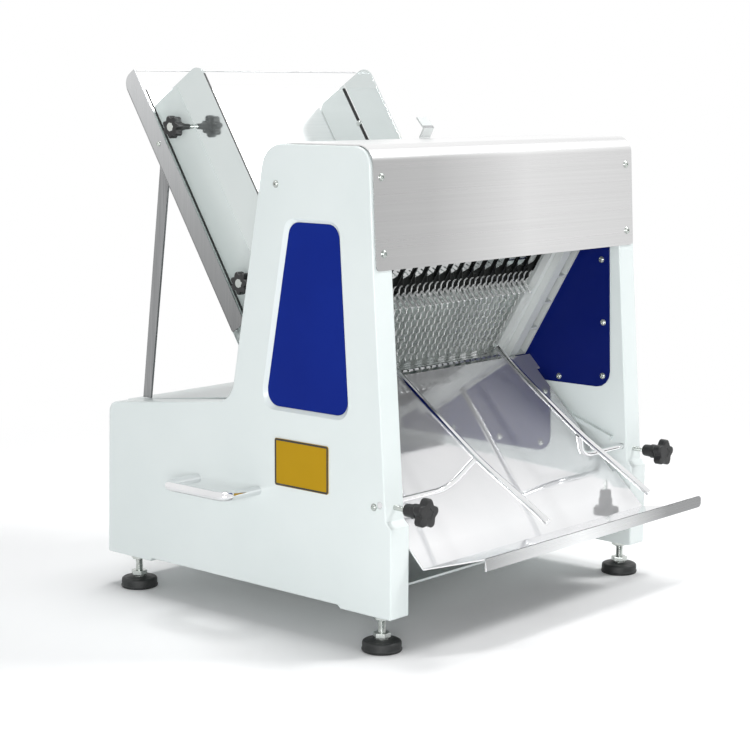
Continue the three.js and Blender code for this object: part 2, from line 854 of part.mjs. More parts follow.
function outfeedTray() {
  const run = trayTopDepth - trayFoldDepth;
  const rise = trayTopHeight - trayFoldHeight;
  const lipDepth = trayFoldDepth - shelfReach;
  const lipTop = trayFoldHeight + shelfRise;
  const floorLine = [[trayTopDepth, trayTopHeight], [trayFoldDepth, trayFoldHeight]];
  const floor = solidOf(alongX(ribbon(floorLine, sheet), -trayHalf, trayHalf));
  const shelfLine = [[trayFoldDepth + rise / run, trayFoldHeight], [lipDepth, lipTop]];
  const shelf = solidOf(alongX(ribbon(shelfLine, sheet), -trayHalf, trayHalf));
  const corner = new THREE.Shape([
    point(-trayHalf - overrun, trayFoldDepth - seat),
    point(-trayHalf - overrun, lipDepth - overrun),
    point(-trayHalf + lipLeftCut, lipDepth - overrun),
  ]);
  let cut = solidOf(alongZ(corner, 0, trayTopHeight));
  for (const side of [-1, 1]) {
    const [from, to] = spanX(side, trayHalf - traySlotWidth, trayHalf + overrun);
    const slot = alongZ(box(from, to, traySlotFront, traySlotRear), 0, frameHeight);
    cut = cut.add(solidOf(slot));
  }
  const lip = roundedOutline([
    [-trayHalf + lipLeftCut, lipTop - lipDrop],
    [innerHalf + lipEar, lipTop - lipDrop, lipRadius],
    [innerHalf + lipEar, lipTop, lipRadius],
    [-trayHalf + lipLeftCut, lipTop],
  ]);
  const strip = solidOf(alongY(lip, lipDepth - sheet / 2, lipDepth + sheet / 2));
  add('outfeed_tray', floor.add(shelf).subtract(cut).add(strip), mirrorSteel());
}

function trayLedge(side) {
  const shape = ribbon([[ledgeFrontDepth, ledgeFrontHeight], [ledgeRearDepth, ledgeRearHeight]], ledgeHeight);
  const [from, to] = spanX(side, insideFace - ledgeWidth, insideFace);
  add(`tray_ledge_${sideName(side)}`, solidOf(alongX(shape, from, to)), whitePaint());
}

// Outfeed guide rails with bent arms and their clamp knobs

function guideRail(side) {
  const at = side * guideRailHalfGap;
  const places = railReachShares.map((share, i) => {
    const height = railRearHeight - railFall * railFallShares[i];
    return new THREE.Vector3(at, railRearDepth - railReach * share, height);
  });
  const bar = rodAlong(new THREE.CatmullRomCurve3(places).getPoints(7), guideRailRadius);
  const arm = bentRod([
    new THREE.Vector3(side * (outerHalf - seat), armDepth, armHeight),
    new THREE.Vector3(side * armHalfFoot, armDepth, armHeight),
    new THREE.Vector3(side * (armHalfFoot - armInward), armDepth - armForward, armHeight + armRise),
  ], armBend, guideRailRadius);
  add(`guide_rail_${sideName(side)}`, solidOf(bar).add(solidOf(arm)), chrome());
}

function clampKnob(side) {
  const knob = starKnob(clampKnobRadius, clampKnobDepth, clampKnobLobes);
  const stemEnd = armDepth - guideRailRadius - seat;
  const stem = barZ(clampStemRadius, -stemEnd - clampStandOff, overrun, 0, 0, 12);
  const mesh = add(`clamp_knob_${sideName(side)}`, knob.add(solidOf(stem)), blackPlastic());
  mesh.rotation.x = 90 * degree;
  mesh.position.set(side * footX, -clampStandOff, clampHeight);
}

// Levelling feet

function foot(side, place, depth) {
  const x = side * footX;
  const name = `${place}_${sideName(side)}`;
  const pad = turned([
    [0, 0],
    [padRadius - smallRadius, 0],
    [padRadius, smallRadius],
    [padRadius, padHeight - 2 * smallRadius],
    [padRadius - 2 * smallRadius, padHeight - smallRadius / 2],
    [nutRadius, padHeight],
    [studRadius + seat, padHeight],
    [studRadius + seat, padHeight / 2],
    [0, padHeight / 2],
  ]);
  const stud = turned([
    [0, padHeight / 2 + seat],
    [studRadius, padHeight / 2 + seat],
    [studRadius, padHeight + seat],
    [nutRadius, padHeight + seat],
    [studRadius, padHeight + nutHeight],
    [studRadius, footHeight + studDepth],
    [0, footHeight + studDepth],
  ], 12);
  const nut = barZ(nutRadius, footHeight - seat - nutHeight, footHeight - seat, 0, 0, 6);
  const padMesh = add(`foot_pad_${name}`, solidOf(pad), blackRubber());
  const studMesh = add(`foot_stud_${name}`, solidOf(stud).add(solidOf(nut)), chrome());
  for (const mesh of [padMesh, studMesh]) mesh.position.set(x, depth, -footHeight);
}

// Carrying handles and the bare label plate

function handle(side) {
  const near = side * (outerHalf + seat);
  const far = side * (outerHalf + handleReach);
  const [front, rear] = [-1, 1].map((end) => handleMiddleDepth + end * handleSpan / 2);
  const bar = bentRod([
    new THREE.Vector3(near, front, handleHeight),
    new THREE.Vector3(far, front, handleHeight),
    new THREE.Vector3(far, rear, handleHeight),
    new THREE.Vector3(near, rear, handleHeight),
  ], handleBend, handleRadius);
  add(`handle_${sideName(side)}`, solidOf(bar), chrome());
}

function labelPlate() {
  const shape = box(labelFront, labelRear, labelBottom, labelTop, smallRadius);
  const face = -outerHalf - seat;
  add('label_plate', solidOf(alongX(shape, face - labelSheet, face)), labelYellow());
}

function pressTab() {
  const base = hoodRear - pressTabSheet;
  const top = frameHeight + seat + sheet + seat;
  const line = [
    [base, top],
    [base, top + pressTabSheet],
    [base - pressTabLean, top + pressTabHeight / 2],
    [base + pressTabLean, top + pressTabHeight],
  ];
  const tab = alongX(ribbon(line, pressTabSheet), pressTabPlace, pressTabPlace + pressTabWidth);
  add('press_tab', solidOf(tab), whitePaint());
}

// Drive: motor, belt, eccentric shaft and four rods up to the blade frames

function bearing(side) {
  const [from, to] = spanX(side, insideFace - bearingWidth / 2, insideFace);
  const block = barX(shaftRadius * 2, from, to, crankDepth, crankHeight, 20);
  const hole = barX(shaftRadius + seat, from - overrun, to + overrun, crankDepth, crankHeight, 20);
  add(`bearing_${sideName(side)}`, solidOf(block).subtract(solidOf(hole)), castGrey());
}

function frameBarCentre(facing) {
  const slope = bladeSlope * degree;
  const up = bladeBottom - clampBarHeight / 6 + bladeBarHeight / 2;
  const out = facing * (bladeWidth / 2 + seat + bladeBarDepth / 2);
  return point(
    bladeFootDepth - up * Math.cos(slope) - out * Math.sin(slope),
    bladeFootHeight + up * Math.sin(slope) - out * Math.cos(slope),
  );
}

function throwCentre(facing) {
  const centre = point(crankDepth, crankHeight);
  const away = frameBarCentre(facing).sub(centre).normalize();
  return centre.add(point(away.y, -away.x).multiplyScalar(facing * throwRadius));
}

const rodInner = { 1: crankRodHalfGap, '-1': crankRodHalfGap + crankRodPitch };

function crankShaft() {
  const end = insideFace - overrun;
  let shaft = solidOf(barX(shaftRadius, -end, end, crankDepth, crankHeight, 20));
  for (const side of [-1, 1]) {
    for (const facing of [-1, 1]) {
      const centre = throwCentre(facing);
      const [from, to] = spanX(side, rodInner[facing], rodInner[facing] + eccentricWidth);
      shaft = shaft.add(solidOf(barX(eccentricRadius, from, to, centre.x, centre.y, 24)));
    }
  }
  add('crank_shaft', shaft, darkSteel());
}

function crankRod(side, facing) {
  const low = throwCentre(facing);
  const high = frameBarCentre(facing);
  const [from, to] = spanX(side, rodInner[facing], rodInner[facing] + eccentricWidth);
  const across = high.clone().sub(low).normalize();
  const half = rodShankWidth / 2;
  const start = low.clone().addScaledVector(across, eccentricRadius + strapWall / 2);
  const sidestep = point(-across.y, across.x).multiplyScalar(half);
  const shank = new THREE.Shape([
    start.clone().sub(sidestep),
    high.clone().sub(sidestep),
    high.clone().add(sidestep),
    start.clone().add(sidestep),
  ]);
  const strap = barX(eccentricRadius + strapWall, from, to, low.x, low.y, 24);
  const eye = barX(rodEyeRadius, from, to, high.x, high.y, 12);
  const bore = barX(eccentricRadius + 2 * seat, from - overrun, to + overrun, low.x, low.y, 24);
  const pin = barX(rodEyeRadius / 2, from - overrun, to + overrun, high.x, high.y, 10);
  let rod = solidOf(strap).add(solidOf(alongX(shank, from, to))).add(solidOf(eye));
  rod = rod.subtract(solidOf(bore)).subtract(solidOf(pin));
  add(`crank_rod_${facing > 0 ? 'front' : 'rear'}_${sideName(side)}`, rod, castGrey());
}

const pulleyFrom = pulleyPlace - pulleyWidth / 2;
const pulleyTo = pulleyPlace + pulleyWidth / 2;

function crankPulley() {
  const disc = barX(largePulleyRadius, pulleyFrom, pulleyTo, crankDepth, crankHeight, 32);
  const hole = barX(shaftRadius + seat, pulleyFrom - overrun, pulleyTo + overrun, crankDepth, crankHeight, 20);
  add('crank_pulley', solidOf(disc).subtract(solidOf(hole)), castGrey());
}

const motorEnd = pulleyFrom - pulleyWidth / 2;

function motor() {
  const from = motorEnd - motorLength;
  const bevel = motorRadius / 8;
  const body = turned([
    [0, 0],
    [motorRadius - bevel, 0],
    [motorRadius, bevel],
    [motorRadius, motorLength - bevel],
    [motorRadius - bevel, motorLength],
    [0, motorLength],
  ], 24).rotateY(90 * degree).translate(from, motorDepth, motorHeight);
  const footTop = motorHeight - motorRadius / 2;
  const base = sideReliefHeight + floorSheet + seat;
  const half = motorRadius * motorFootShare;
  const shape = box(motorDepth - half, motorDepth + half, base, footTop);
  const saddle = alongX(shape, from + bevel * 2, motorEnd - bevel * 2);
  add('motor', solidOf(body).add(solidOf(saddle)), darkSteel());
}

function motorPulley() {
  const disc = barX(smallPulleyRadius, pulleyFrom, pulleyTo, motorDepth, motorHeight, 24);
  const stub = barX(shaftRadius / 2, motorEnd + seat, pulleyTo, motorDepth, motorHeight, 16);
  add('motor_pulley', solidOf(disc).add(solidOf(stub)), castGrey());
}

function loopPoints(large, small) {
  const distance = Math.hypot(motorDepth - crankDepth, motorHeight - crankHeight);
  const wrap = Math.acos((large - small) / distance) / degree;
  const aim = Math.atan2(motorHeight - crankHeight, motorDepth - crankDepth) / degree;
  return [
    ...arcPoints(crankDepth, crankHeight, large, aim + wrap, aim + fullTurn - wrap, 18),
    ...arcPoints(motorDepth, motorHeight, small, aim - wrap, aim + wrap, 9),
  ];
}

function belt() {
  const outer = loopPoints(largePulleyRadius + seat + beltThickness, smallPulleyRadius + seat + beltThickness);
  const inner = loopPoints(largePulleyRadius + seat, smallPulleyRadius + seat);
  const shape = new THREE.Shape(outer.map((place) => point(...place)));
  shape.holes.push(new THREE.Path(inner.map((place) => point(...place)).reverse()));
  const inset = pulleyWidth / 8;
  add('drive_belt', solidOf(alongX(shape, pulleyFrom + inset, pulleyTo - inset)), blackRubber());
}

for (const side of [-1, 1]) {
  sideFrame(side);
  windowCover(side);
  innerCover(side);
  chuteGuide(side);
  for (const [name, place] of [['upper', upperKnobPlace], ['lower', lowerKnobPlace]]) {
    chuteKnob(side, place, name);
    slideBolt(side, place, name);
  }
  chuteStrut(side);
  slideRail(side);
  trayLedge(side);
  guideRail(side);
  clampKnob(side);
  for (const [place, depth] of Object.entries(footDepths())) foot(side, place, depth);
  handle(side);
  bearing(side);
  for (const facing of [-1, 1]) crankRod(side, facing);
}
hood();
housing();
floorPlate();
chuteTray();
bladeSet('blades_front', 1, 0);
bladeSet('blades_rear', -1, 1);
bladeFrame('blade_frame_front', 1);
bladeFrame('blade_frame_rear', -1);
lowerComb();
upperComb();
outfeedTray();
labelPlate();
pressTab();
crankShaft();
crankPulley();
motor();
motorPulley();
belt();

slicer.position.set(0, -middleDepth, footHeight);

export default slicer;
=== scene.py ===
import math

import bmesh
import bpy
from mathutils import Matrix, Vector

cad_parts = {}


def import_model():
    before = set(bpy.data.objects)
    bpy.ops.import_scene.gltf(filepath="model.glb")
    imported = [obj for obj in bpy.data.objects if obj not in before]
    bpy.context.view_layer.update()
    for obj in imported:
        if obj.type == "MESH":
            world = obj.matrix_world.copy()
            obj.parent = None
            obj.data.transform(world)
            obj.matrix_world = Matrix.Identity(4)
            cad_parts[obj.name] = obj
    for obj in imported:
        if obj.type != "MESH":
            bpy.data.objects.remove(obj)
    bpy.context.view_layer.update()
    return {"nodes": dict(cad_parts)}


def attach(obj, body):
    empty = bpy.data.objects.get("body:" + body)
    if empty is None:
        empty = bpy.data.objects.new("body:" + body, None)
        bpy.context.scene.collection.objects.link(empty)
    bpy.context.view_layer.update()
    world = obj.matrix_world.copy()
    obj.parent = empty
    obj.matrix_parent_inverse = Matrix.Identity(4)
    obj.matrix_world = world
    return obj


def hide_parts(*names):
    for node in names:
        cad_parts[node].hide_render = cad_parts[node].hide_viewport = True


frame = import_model()

# Lengths are in millimetres, x from the middle, y back from the frames' front, z up from their underside

MM = 0.001
TAU = 2 * math.pi
X_AXIS, Z_AXIS = 0, 2
UPWARDS = (0, 0, 1)
MIDDLE = 201.0  # depth of the row frame's origin
FOOT = 45.0  # height of the feet
SEAT = 0.3  # gap left between pieces that touch
SHEET = 1.5  # thickness of the steel sheets
INNER = 236.0  # the side frames' inner faces
OUTER = 270.0  # their outer faces
FOOT_PLACE = 252.7  # middle of the frames' thickness, for the feet and the clamp knobs
CHUTE_SLOPE = math.radians(57.4)
CHUTE_TOP = 641.4
CHUTE_BOTTOM = 260.2
CHUTE_BOTTOM_DEPTH = 265.3
CHUTE_LENGTH = (CHUTE_TOP - CHUTE_BOTTOM) / math.sin(CHUTE_SLOPE)
CHUTE_DEPTH = CHUTE_BOTTOM_DEPTH + (CHUTE_TOP - CHUTE_BOTTOM) / math.tan(CHUTE_SLOPE)
KNOB_PLACES = {"upper": 107.5, "lower": CHUTE_LENGTH - 113}  # down from the chute's upper edge
KNOB_HEIGHT = 54.5
GUIDE_PLACES = {-1: 203.0, 1: 120.0}  # out from the middle, by side
BLADE_SLOPE = math.radians(59.0)
BLADE_DEPTH = 204.0
BLADE_BOTTOM = 276.0


def at(x, y, z):
    """The place in the row frame, in metres."""
    return Vector((x * MM, (y - MIDDLE) * MM, (z + FOOT) * MM))


def on_chute(x, up, out):
    """A place on the chute floor, measured up from its upper edge and out from its face."""
    y = CHUTE_DEPTH + up * math.cos(CHUTE_SLOPE) - out * math.sin(CHUTE_SLOPE)
    return at(x, y, CHUTE_TOP + up * math.sin(CHUTE_SLOPE) + out * math.cos(CHUTE_SLOPE))


def on_blade(x, up, out):
    """A place on the blades' plane, measured up along the blades and out to the front."""
    y = BLADE_DEPTH - up * math.cos(BLADE_SLOPE) - out * math.sin(BLADE_SLOPE)
    return at(x, y, BLADE_BOTTOM + up * math.sin(BLADE_SLOPE) - out * math.cos(BLADE_SLOPE))


def on_side(side):
    """Turns (y, z, distance from the middle) into a place on that side."""
    return lambda y, z, x: at(side * x, y, z)


def on_fold(root, ahead, out):
    """Turns (x, distance ahead, distance out) into a place; root, ahead and out are (depth, height)."""
    def put(x, along, off):
        place = root + ahead * along + out * off
        return at(x, place.x, place.y)
    return put


def side_name(side):
    return "left" if side < 0 else "right"


# Materials

NOISE_LOW, NOISE_HIGH = 0.3, 0.7  # most of a noise lies between these values


def linear(value):
    return value / 12.92 if value <= 0.04045 else ((value + 0.055) / 1.055) ** 2.4


def rgb(red, green, blue):
    return (linear(red / 255), linear(green / 255), linear(blue / 255), 1.0)


def add_node(tree, kind, sockets=None, **values):
    """A new node with those properties, and with those values on its input sockets."""
    made = tree.nodes.new(kind)
    for key, value in values.items():
        setattr(made, key, value)
    for socket, value in (sockets or {}).items():
        made.inputs[socket].default_value = value
    return made


class Surface:
    """A material made of nodes round one Principled shader, textured by the place in the row frame."""

    def __init__(self, name, metallic=0.0, coat=0.0, coat_roughness=0.1, specular=0.5):
        self.material = bpy.data.materials.new(name)
        self.material.use_nodes = True
        self.tree = self.material.node_tree
        self.shader = self.tree.nodes["Principled BSDF"]
        self.shader.inputs["Metallic"].default_value = metallic
        self.shader.inputs["Coat Weight"].default_value = coat
        self.shader.inputs["Coat Roughness"].default_value = coat_roughness
        self.shader.inputs["Specular IOR Level"].default_value = specular
        self.coords = add_node(self.tree, "ShaderNodeTexCoord").outputs["Object"]

    def link(self, output, target):
        self.tree.links.new(output, target)

    def noise(self, scale, detail=3.0, stretch=(1, 1, 1), turn=(0, 0, 0), roughness=0.5):
        mapping = add_node(self.tree, "ShaderNodeMapping", {"Scale": stretch, "Rotation": turn})
        self.link(self.coords, mapping.inputs["Vector"])
        made = add_node(self.tree, "ShaderNodeTexNoise", {
            "Scale": scale, "Detail": detail, "Roughness": roughness,
        })
        self.link(mapping.outputs["Vector"], made.inputs["Vector"])
        return made.outputs["Fac"]

    def ramp(self, factor, stops):
        """A colour that runs through the stops, which are (place, colour)."""
        made = add_node(self.tree, "ShaderNodeValToRGB")
        elements = made.color_ramp.elements
        for i, (place, colour) in enumerate((stops[0], stops[-1])):
            elements[i].position = place
            elements[i].color = colour
        for place, colour in stops[1:-1]:
            elements.new(place).color = colour
        self.link(factor, made.inputs["Fac"])
        return made.outputs["Color"]

    def mapped(self, factor, low, high, start=NOISE_LOW, end=NOISE_HIGH):
        """Turns a factor between start and end into a value between low and high."""
        made = add_node(self.tree, "ShaderNodeMapRange", {
            "From Min": start, "From Max": end, "To Min": low, "To Max": high,
        })
        self.link(factor, made.inputs["Value"])
        return made.outputs["Result"]

    def colour(self, factor, low, high):
        tint = self.ramp(factor, [(NOISE_LOW, low), (NOISE_HIGH, high)])
        self.link(tint, self.shader.inputs["Base Color"])
        return self

    def spread(self, axis, start, end, stops):
        """A grey value of painted light or shade that changes along one axis of the row frame, from start
        to end in metres.
        """
        separate = add_node(self.tree, "ShaderNodeSeparateXYZ")
        self.link(self.coords, separate.inputs[0])
        share = self.mapped(separate.outputs[axis], 0.0, 1.0, start, end)
        return self.ramp(share, [(place, (value, value, value, 1.0)) for place, value in stops])

    def mix(self, kind, first, second):
        made = add_node(self.tree, "ShaderNodeMix", {0: 1.0}, data_type="RGBA", blend_type=kind)
        self.link(first, made.inputs[6])
        self.link(second, made.inputs[7])
        return made.outputs[2]

    def toned(self, shade):
        """Multiplies the colour already linked by a painted light or shade."""
        target = self.shader.inputs["Base Color"]
        self.link(self.mix("MULTIPLY", target.links[0].from_socket, shade), target)
        return self

    def rough(self, factor, low, high):
        self.link(self.mapped(factor, low, high), self.shader.inputs["Roughness"])
        return self

    def bump(self, factor, strength, distance):
        made = add_node(self.tree, "ShaderNodeBump", {"Strength": strength, "Distance": distance})
        self.link(factor, made.inputs["Height"])
        self.link(made.outputs["Normal"], self.shader.inputs["Normal"])
        return self


def paint(name, low, high, rough=(0.28, 0.4), coat=0.15, specular=0.5):
    made = Surface(name, coat=coat, coat_roughness=0.12, specular=specular)
    made.colour(made.noise(6.0, 4.0), low, high)
    made.rough(made.noise(240.0, 2.0), *rough)
    return made.bump(made.noise(700.0, 2.0), 0.12, 0.0002).material


def brushed(name, low, high, rough, grain=(3, 900, 900), turn=(0, 0, 0), strength=0.05, shades=()):
    """Brushed steel; shades are one or two (axis, start, end, stops) tones of painted light and shade, of
    which the lighter counts.
    """
    made = Surface(name, metallic=1.0)
    streaks = made.noise(1.0, 5.0, grain, turn, 0.6)
    made.colour(streaks, low, high)
    made.rough(made.noise(1.0, 3.0, tuple(g * 0.6 for g in grain), turn), *rough)
    tones = [made.spread(*shade) for shade in shades]
    if tones:
        made.toned(tones[0] if len(tones) == 1 else made.mix("LIGHTEN", *tones))
    return made.bump(streaks, strength, 0.0001).material


def polished(name, low, high, rough, waves=0.0, metallic=1.0, shade=None):
    """Polished steel with faint waves; shade is an (axis, start, end, stops) tone of painted shade."""
    made = Surface(name, metallic=metallic)
    made.colour(made.noise(9.0, 4.0), low, high)
    made.rough(made.noise(60.0, 4.0), *rough)
    if shade:
        made.toned(made.spread(*shade))
    return made.bump(made.noise(7.0, 2.0), waves, 0.001).material


def moulded(name, low, high, rough=(0.35, 0.5), grain=900.0, strength=0.15):
    made = Surface(name)
    made.colour(made.noise(30.0, 4.0), low, high)
    made.rough(made.noise(160.0, 3.0), *rough)
    return made.bump(made.noise(grain, 3.0), strength, 0.0002).material


# The grains of brushed sheets run across, those of upright bars up

UPRIGHT_GRAIN = (300, 300, 8)
WHITE = paint("white_paint", rgb(213, 221, 220), rgb(219, 226, 225))
BLUE = paint("blue_paint", rgb(10, 32, 118), rgb(14, 38, 128), (0.34, 0.46), 0.0, 0.06)
NAVY = paint("navy_paint", rgb(5, 20, 88), rgb(8, 25, 98), (0.3, 0.4), 0.0, 0.12)
# The hood's colour carries painted light: darker at its left end, a painted highlight towards the middle
# and a painted sheen on its top round.
HOOD = brushed(
    "hood_steel", rgb(234, 234, 234), rgb(242, 242, 242), (0.26, 0.34), (3, 700, 700), strength=0.02,
    shades=[
        (X_AXIS, -0.27, 0.27, [(0.0, 0.54), (0.2, 0.58), (0.55, 0.86), (1.0, 0.78)]),
        (Z_AXIS, 0.572, 0.606, [(0.0, 0.0), (0.5, 0.45), (1.0, 0.9)]),
    ])
# The lip's colour carries painted reflection and shade: brightest left of its middle, darker towards both
# ends and darkest at the right.
LIP = brushed(
    "lip_steel_painted_shade", rgb(226, 227, 228), rgb(238, 239, 239), (0.2, 0.3),
    shades=[(X_AXIS, -0.16, 0.33, [
        (0.0, 0.42), (0.2, 0.72), (0.41, 0.95), (0.64, 0.66), (0.82, 0.34), (1.0, 0.33),
    ])])
SATIN = brushed("chute_floor_steel", rgb(240, 242, 242), rgb(250, 251, 251), (0.34, 0.46), strength=0.02)
STRUT = brushed("strut_steel", rgb(136, 137, 138), rgb(160, 161, 162), (0.3, 0.42), UPRIGHT_GRAIN)
GUIDE = polished("guide_steel", rgb(209, 216, 215), rgb(215, 221, 220), (0.06, 0.1), 0.0, 0.85)
BAND = paint("guide_band_satin", rgb(212, 220, 218), rgb(218, 224, 222), (0.3, 0.4), 0.0, 0.3)
# Dark strips painted as the shade in the guides' slot and gaps
GAP_SHADE = moulded("dark_gap_shade", rgb(9, 11, 11), rgb(18, 20, 20), (0.4, 0.55))
# The chute walls' colour carries painted shade, darker towards the bottom.
FLANGE = brushed(
    "flange_steel_painted_shade", rgb(208, 210, 211), rgb(222, 223, 224), (0.26, 0.36), (900, 900, 3), (-0.57, 0, 0),
    shades=[(Z_AXIS, 0.34, 0.7, [(0.0, 0.3), (0.45, 0.52), (1.0, 0.92)])])
MIRROR = polished("mirror_steel", rgb(224, 226, 228), rgb(236, 237, 238), (0.02, 0.05), 0.02)
# The tray's colour carries painted shade by height: brightest a little above its lowest part and darker
# further up.
TRAY = polished(
    "tray_steel", rgb(238, 239, 240), rgb(245, 245, 246), (0.04, 0.07), 0.004, 0.66,
    (Z_AXIS, 0.095, 0.3, [(0.0, 0.9), (0.15, 1.0), (0.45, 0.82), (0.75, 0.7), (1.0, 0.7)]))
# The blades' colour carries painted shade: above the upper comb they turn nearly black.
BLADES = polished(
    "blade_steel", rgb(184, 188, 186), rgb(206, 209, 207), (0.24, 0.34),
    shade=(Z_AXIS, 0.401, 0.409, [(0.0, 1.0), (1.0, 0.08)]))
CUTTING = polished("ground_edge_steel", rgb(232, 234, 233), rgb(244, 245, 244), (0.2, 0.3), 0.0, 0.7)
STEEL = brushed("plain_steel", rgb(176, 178, 178), rgb(204, 206, 206), (0.22, 0.34), (60, 400, 400))
DARK = brushed("dark_steel", rgb(92, 94, 95), rgb(112, 114, 115), (0.32, 0.45), UPRIGHT_GRAIN)
CAST = paint("cast_grey", rgb(186, 190, 189), rgb(200, 204, 203), (0.35, 0.5), 0.0)
CHROME = polished("chrome", rgb(226, 227, 228), rgb(238, 238, 239), (0.05, 0.1))
ZINC = polished("zinc", rgb(172, 178, 176), rgb(214, 217, 212), (0.18, 0.32))
BLACK = moulded("black_plastic", rgb(16, 17, 18), rgb(28, 29, 30))
RUBBER = moulded("black_rubber", rgb(20, 22, 22), rgb(31, 34, 34), (0.45, 0.62), 500.0, 0.25)
YELLOW = paint("label_yellow", rgb(168, 132, 8), rgb(178, 140, 14), (0.3, 0.4), 0.0, 0.12)
INK = paint("label_black", rgb(16, 18, 16), rgb(24, 26, 24), (0.3, 0.4), 0.2)

NODE_MATERIALS = {
    "window_cover": BLUE, "inner_cover": NAVY, "rear_cover": WHITE, "floor_plate": WHITE,
    "infeed_chute": SATIN, "chute_guide": GUIDE, "chute_strut": STRUT, "slide_rail": CAST,
    "tray_ledge": WHITE, "blade_frame": CAST, "lower_comb": STEEL, "upper_comb": STEEL,
    # The press tab takes the grey cast paint as painted shade, to stand apart from the white frames.
    "outfeed_tray": TRAY, "press_tab": CAST, "crank_shaft": DARK, "crank_rod": CAST,
    "crank_pulley": CAST, "motor_pulley": CAST, "motor": DARK, "bearing": CAST,
    "drive_belt": RUBBER, "label_plate": YELLOW, "blades": BLADES, "side_frame": WHITE,
    "hood": HOOD, "handle": CHROME, "guide_rail": CHROME, "foot_pad": RUBBER,
    "foot_stud": ZINC, "chute_knob": BLACK, "slide_bolt": ZINC, "clamp_knob": BLACK,
}

for name, node in frame["nodes"].items():
    key = max((k for k in NODE_MATERIALS if name.startswith(k)), key=len)
    node.data.materials.clear()
    node.data.materials.append(NODE_MATERIALS[key])


# Mesh making

OPEN = (False, False)


class Piece:
    """Collects closed skins, then becomes one object that rides on a body."""

    def __init__(self):
        self.bm = bmesh.new()

    def join(self, first, second):
        """Faces between two rings of vertices."""
        count = len(first)
        for i in range(count):
            j = (i + 1) % count
            self.bm.faces.new((first[i], first[j], second[j], second[i]))

    def skin(self, rings, caps=(True, True)):
        """Faces from ring to ring, with caps on the first and the last."""
        made = [[self.bm.verts.new(place) for place in ring] for ring in rings]
        for first, second in zip(made, made[1:]):
            self.join(first, second)
        if caps[0]:
            self.bm.faces.new(list(reversed(made[0])))
        if caps[1]:
            self.bm.faces.new(made[-1])
        return made

    def fill(self, *rings):
        """Flat faces inside the first ring and outside the others."""
        edges = []
        for ring in rings:
            for i, vert in enumerate(ring):
                other = ring[(i + 1) % len(ring)]
                edges.append(self.bm.edges.get((vert, other)) or self.bm.edges.new((vert, other)))
        bmesh.ops.triangle_fill(self.bm, use_beauty=True, use_dissolve=False, edges=edges)

    def make(self, name, body, material, nodes=(), angle=35.0):
        bmesh.ops.recalc_face_normals(self.bm, faces=self.bm.faces)
        mesh = bpy.data.meshes.new(name)
        self.bm.to_mesh(mesh)
        self.bm.free()
        mesh.shade_smooth()
        mesh.set_sharp_from_angle(angle=math.radians(angle))
        mesh.materials.append(material)
        piece = bpy.data.objects.new(name, mesh)
        bpy.context.scene.collection.objects.link(piece)
        modifier = piece.modifiers.new("normals", "WEIGHTED_NORMAL")
        modifier.keep_sharp = True
        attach(piece, body)
        if nodes:
            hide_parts(*nodes)


def arc(centre, radius, start, end, count):
    turns = [start + (end - start) * i / count for i in range(count + 1)]
    return [(centre[0] + radius * math.cos(t), centre[1] + radius * math.sin(t)) for t in turns]


def circle(x, y, radius, count=24):
    turns = [TAU * k / count for k in range(count)]
    return [(x + radius * math.cos(t), y + radius * math.sin(t)) for t in turns]


def rounded(corners, count=8):
    """An outline whose corners (x, y, radius) are rounded by arcs of count steps."""
    outline = []
    total = len(corners)
    for i, corner in enumerate(corners):
        x, y, radius = (*corner, 0)[:3]
        here = Vector((x, y))
        before = (Vector(corners[i - 1][:2]) - here).normalized()
        after = (Vector(corners[(i + 1) % total][:2]) - here).normalized()
        if radius <= 0:
            outline.append((x, y))
            continue
        half = math.acos(max(-1.0, min(1.0, before.dot(after)))) / 2
        centre = here + (before + after).normalized() * (radius / math.sin(half))
        first = here + before * (radius / math.tan(half)) - centre
        last = here + after * (radius / math.tan(half)) - centre
        start = math.atan2(first.y, first.x)
        sweep = (math.atan2(last.y, last.x) - start + math.pi) % TAU - math.pi
        outline.extend(arc(centre, radius, start, start + sweep, count))
    return outline


def rectangle(left, low, right, high, radius=0, count=8):
    corners = [(left, low), (right, low), (right, high), (left, high)]
    return rounded([(x, y, radius) for x, y in corners], count)


MITRE_LIMIT = 0.4


def inset(outline, by):
    """The outline, which runs anticlockwise, moved inwards by that much."""
    total = len(outline)
    moved = []
    for i, (x, y) in enumerate(outline):
        before = Vector((x - outline[i - 1][0], y - outline[i - 1][1])).normalized()
        after = Vector((outline[(i + 1) % total][0] - x, outline[(i + 1) % total][1] - y)).normalized()
        first = Vector((-before.y, before.x))
        second = Vector((-after.y, after.x))
        middle = (first + second).normalized()
        reach = by / max(middle.dot(first), MITRE_LIMIT)
        moved.append((x + middle.x * reach, y + middle.y * reach))
    return moved


def edge_steps(radius, count=3):
    """Steps (inset, depth) round an edge of that radius, from the face to the side."""
    turns = [math.pi / 2 * i / count for i in range(count + 1)]
    return [(radius * (1 - math.sin(t)), radius * (1 - math.cos(t))) for t in turns]


def plate_rings(outline, low, high, radius, put, count):
    """Rings of a plate with rounded edges between two depths; put turns (u, v, depth) into a place."""
    steps = edge_steps(radius, count)
    levels = [(low + depth, by) for by, depth in steps]
    levels += [(high - depth, by) for by, depth in reversed(steps)]
    rings = []
    for depth, by in levels:
        ring = inset(outline, by) if by > 0 else outline
        rings.append([put(u, v, depth) for u, v in ring])
    return rings


def slab(piece, outline, low, high, radius, put, count=1):
    """A plate with rounded edges between two depths."""
    piece.skin(plate_rings(outline, low, high, radius, put, count))


def bore(piece, outline, low, high, put):
    """The wall of a straight hole."""
    return piece.skin([[put(u, v, depth) for u, v in outline] for depth in (low, high)], OPEN)


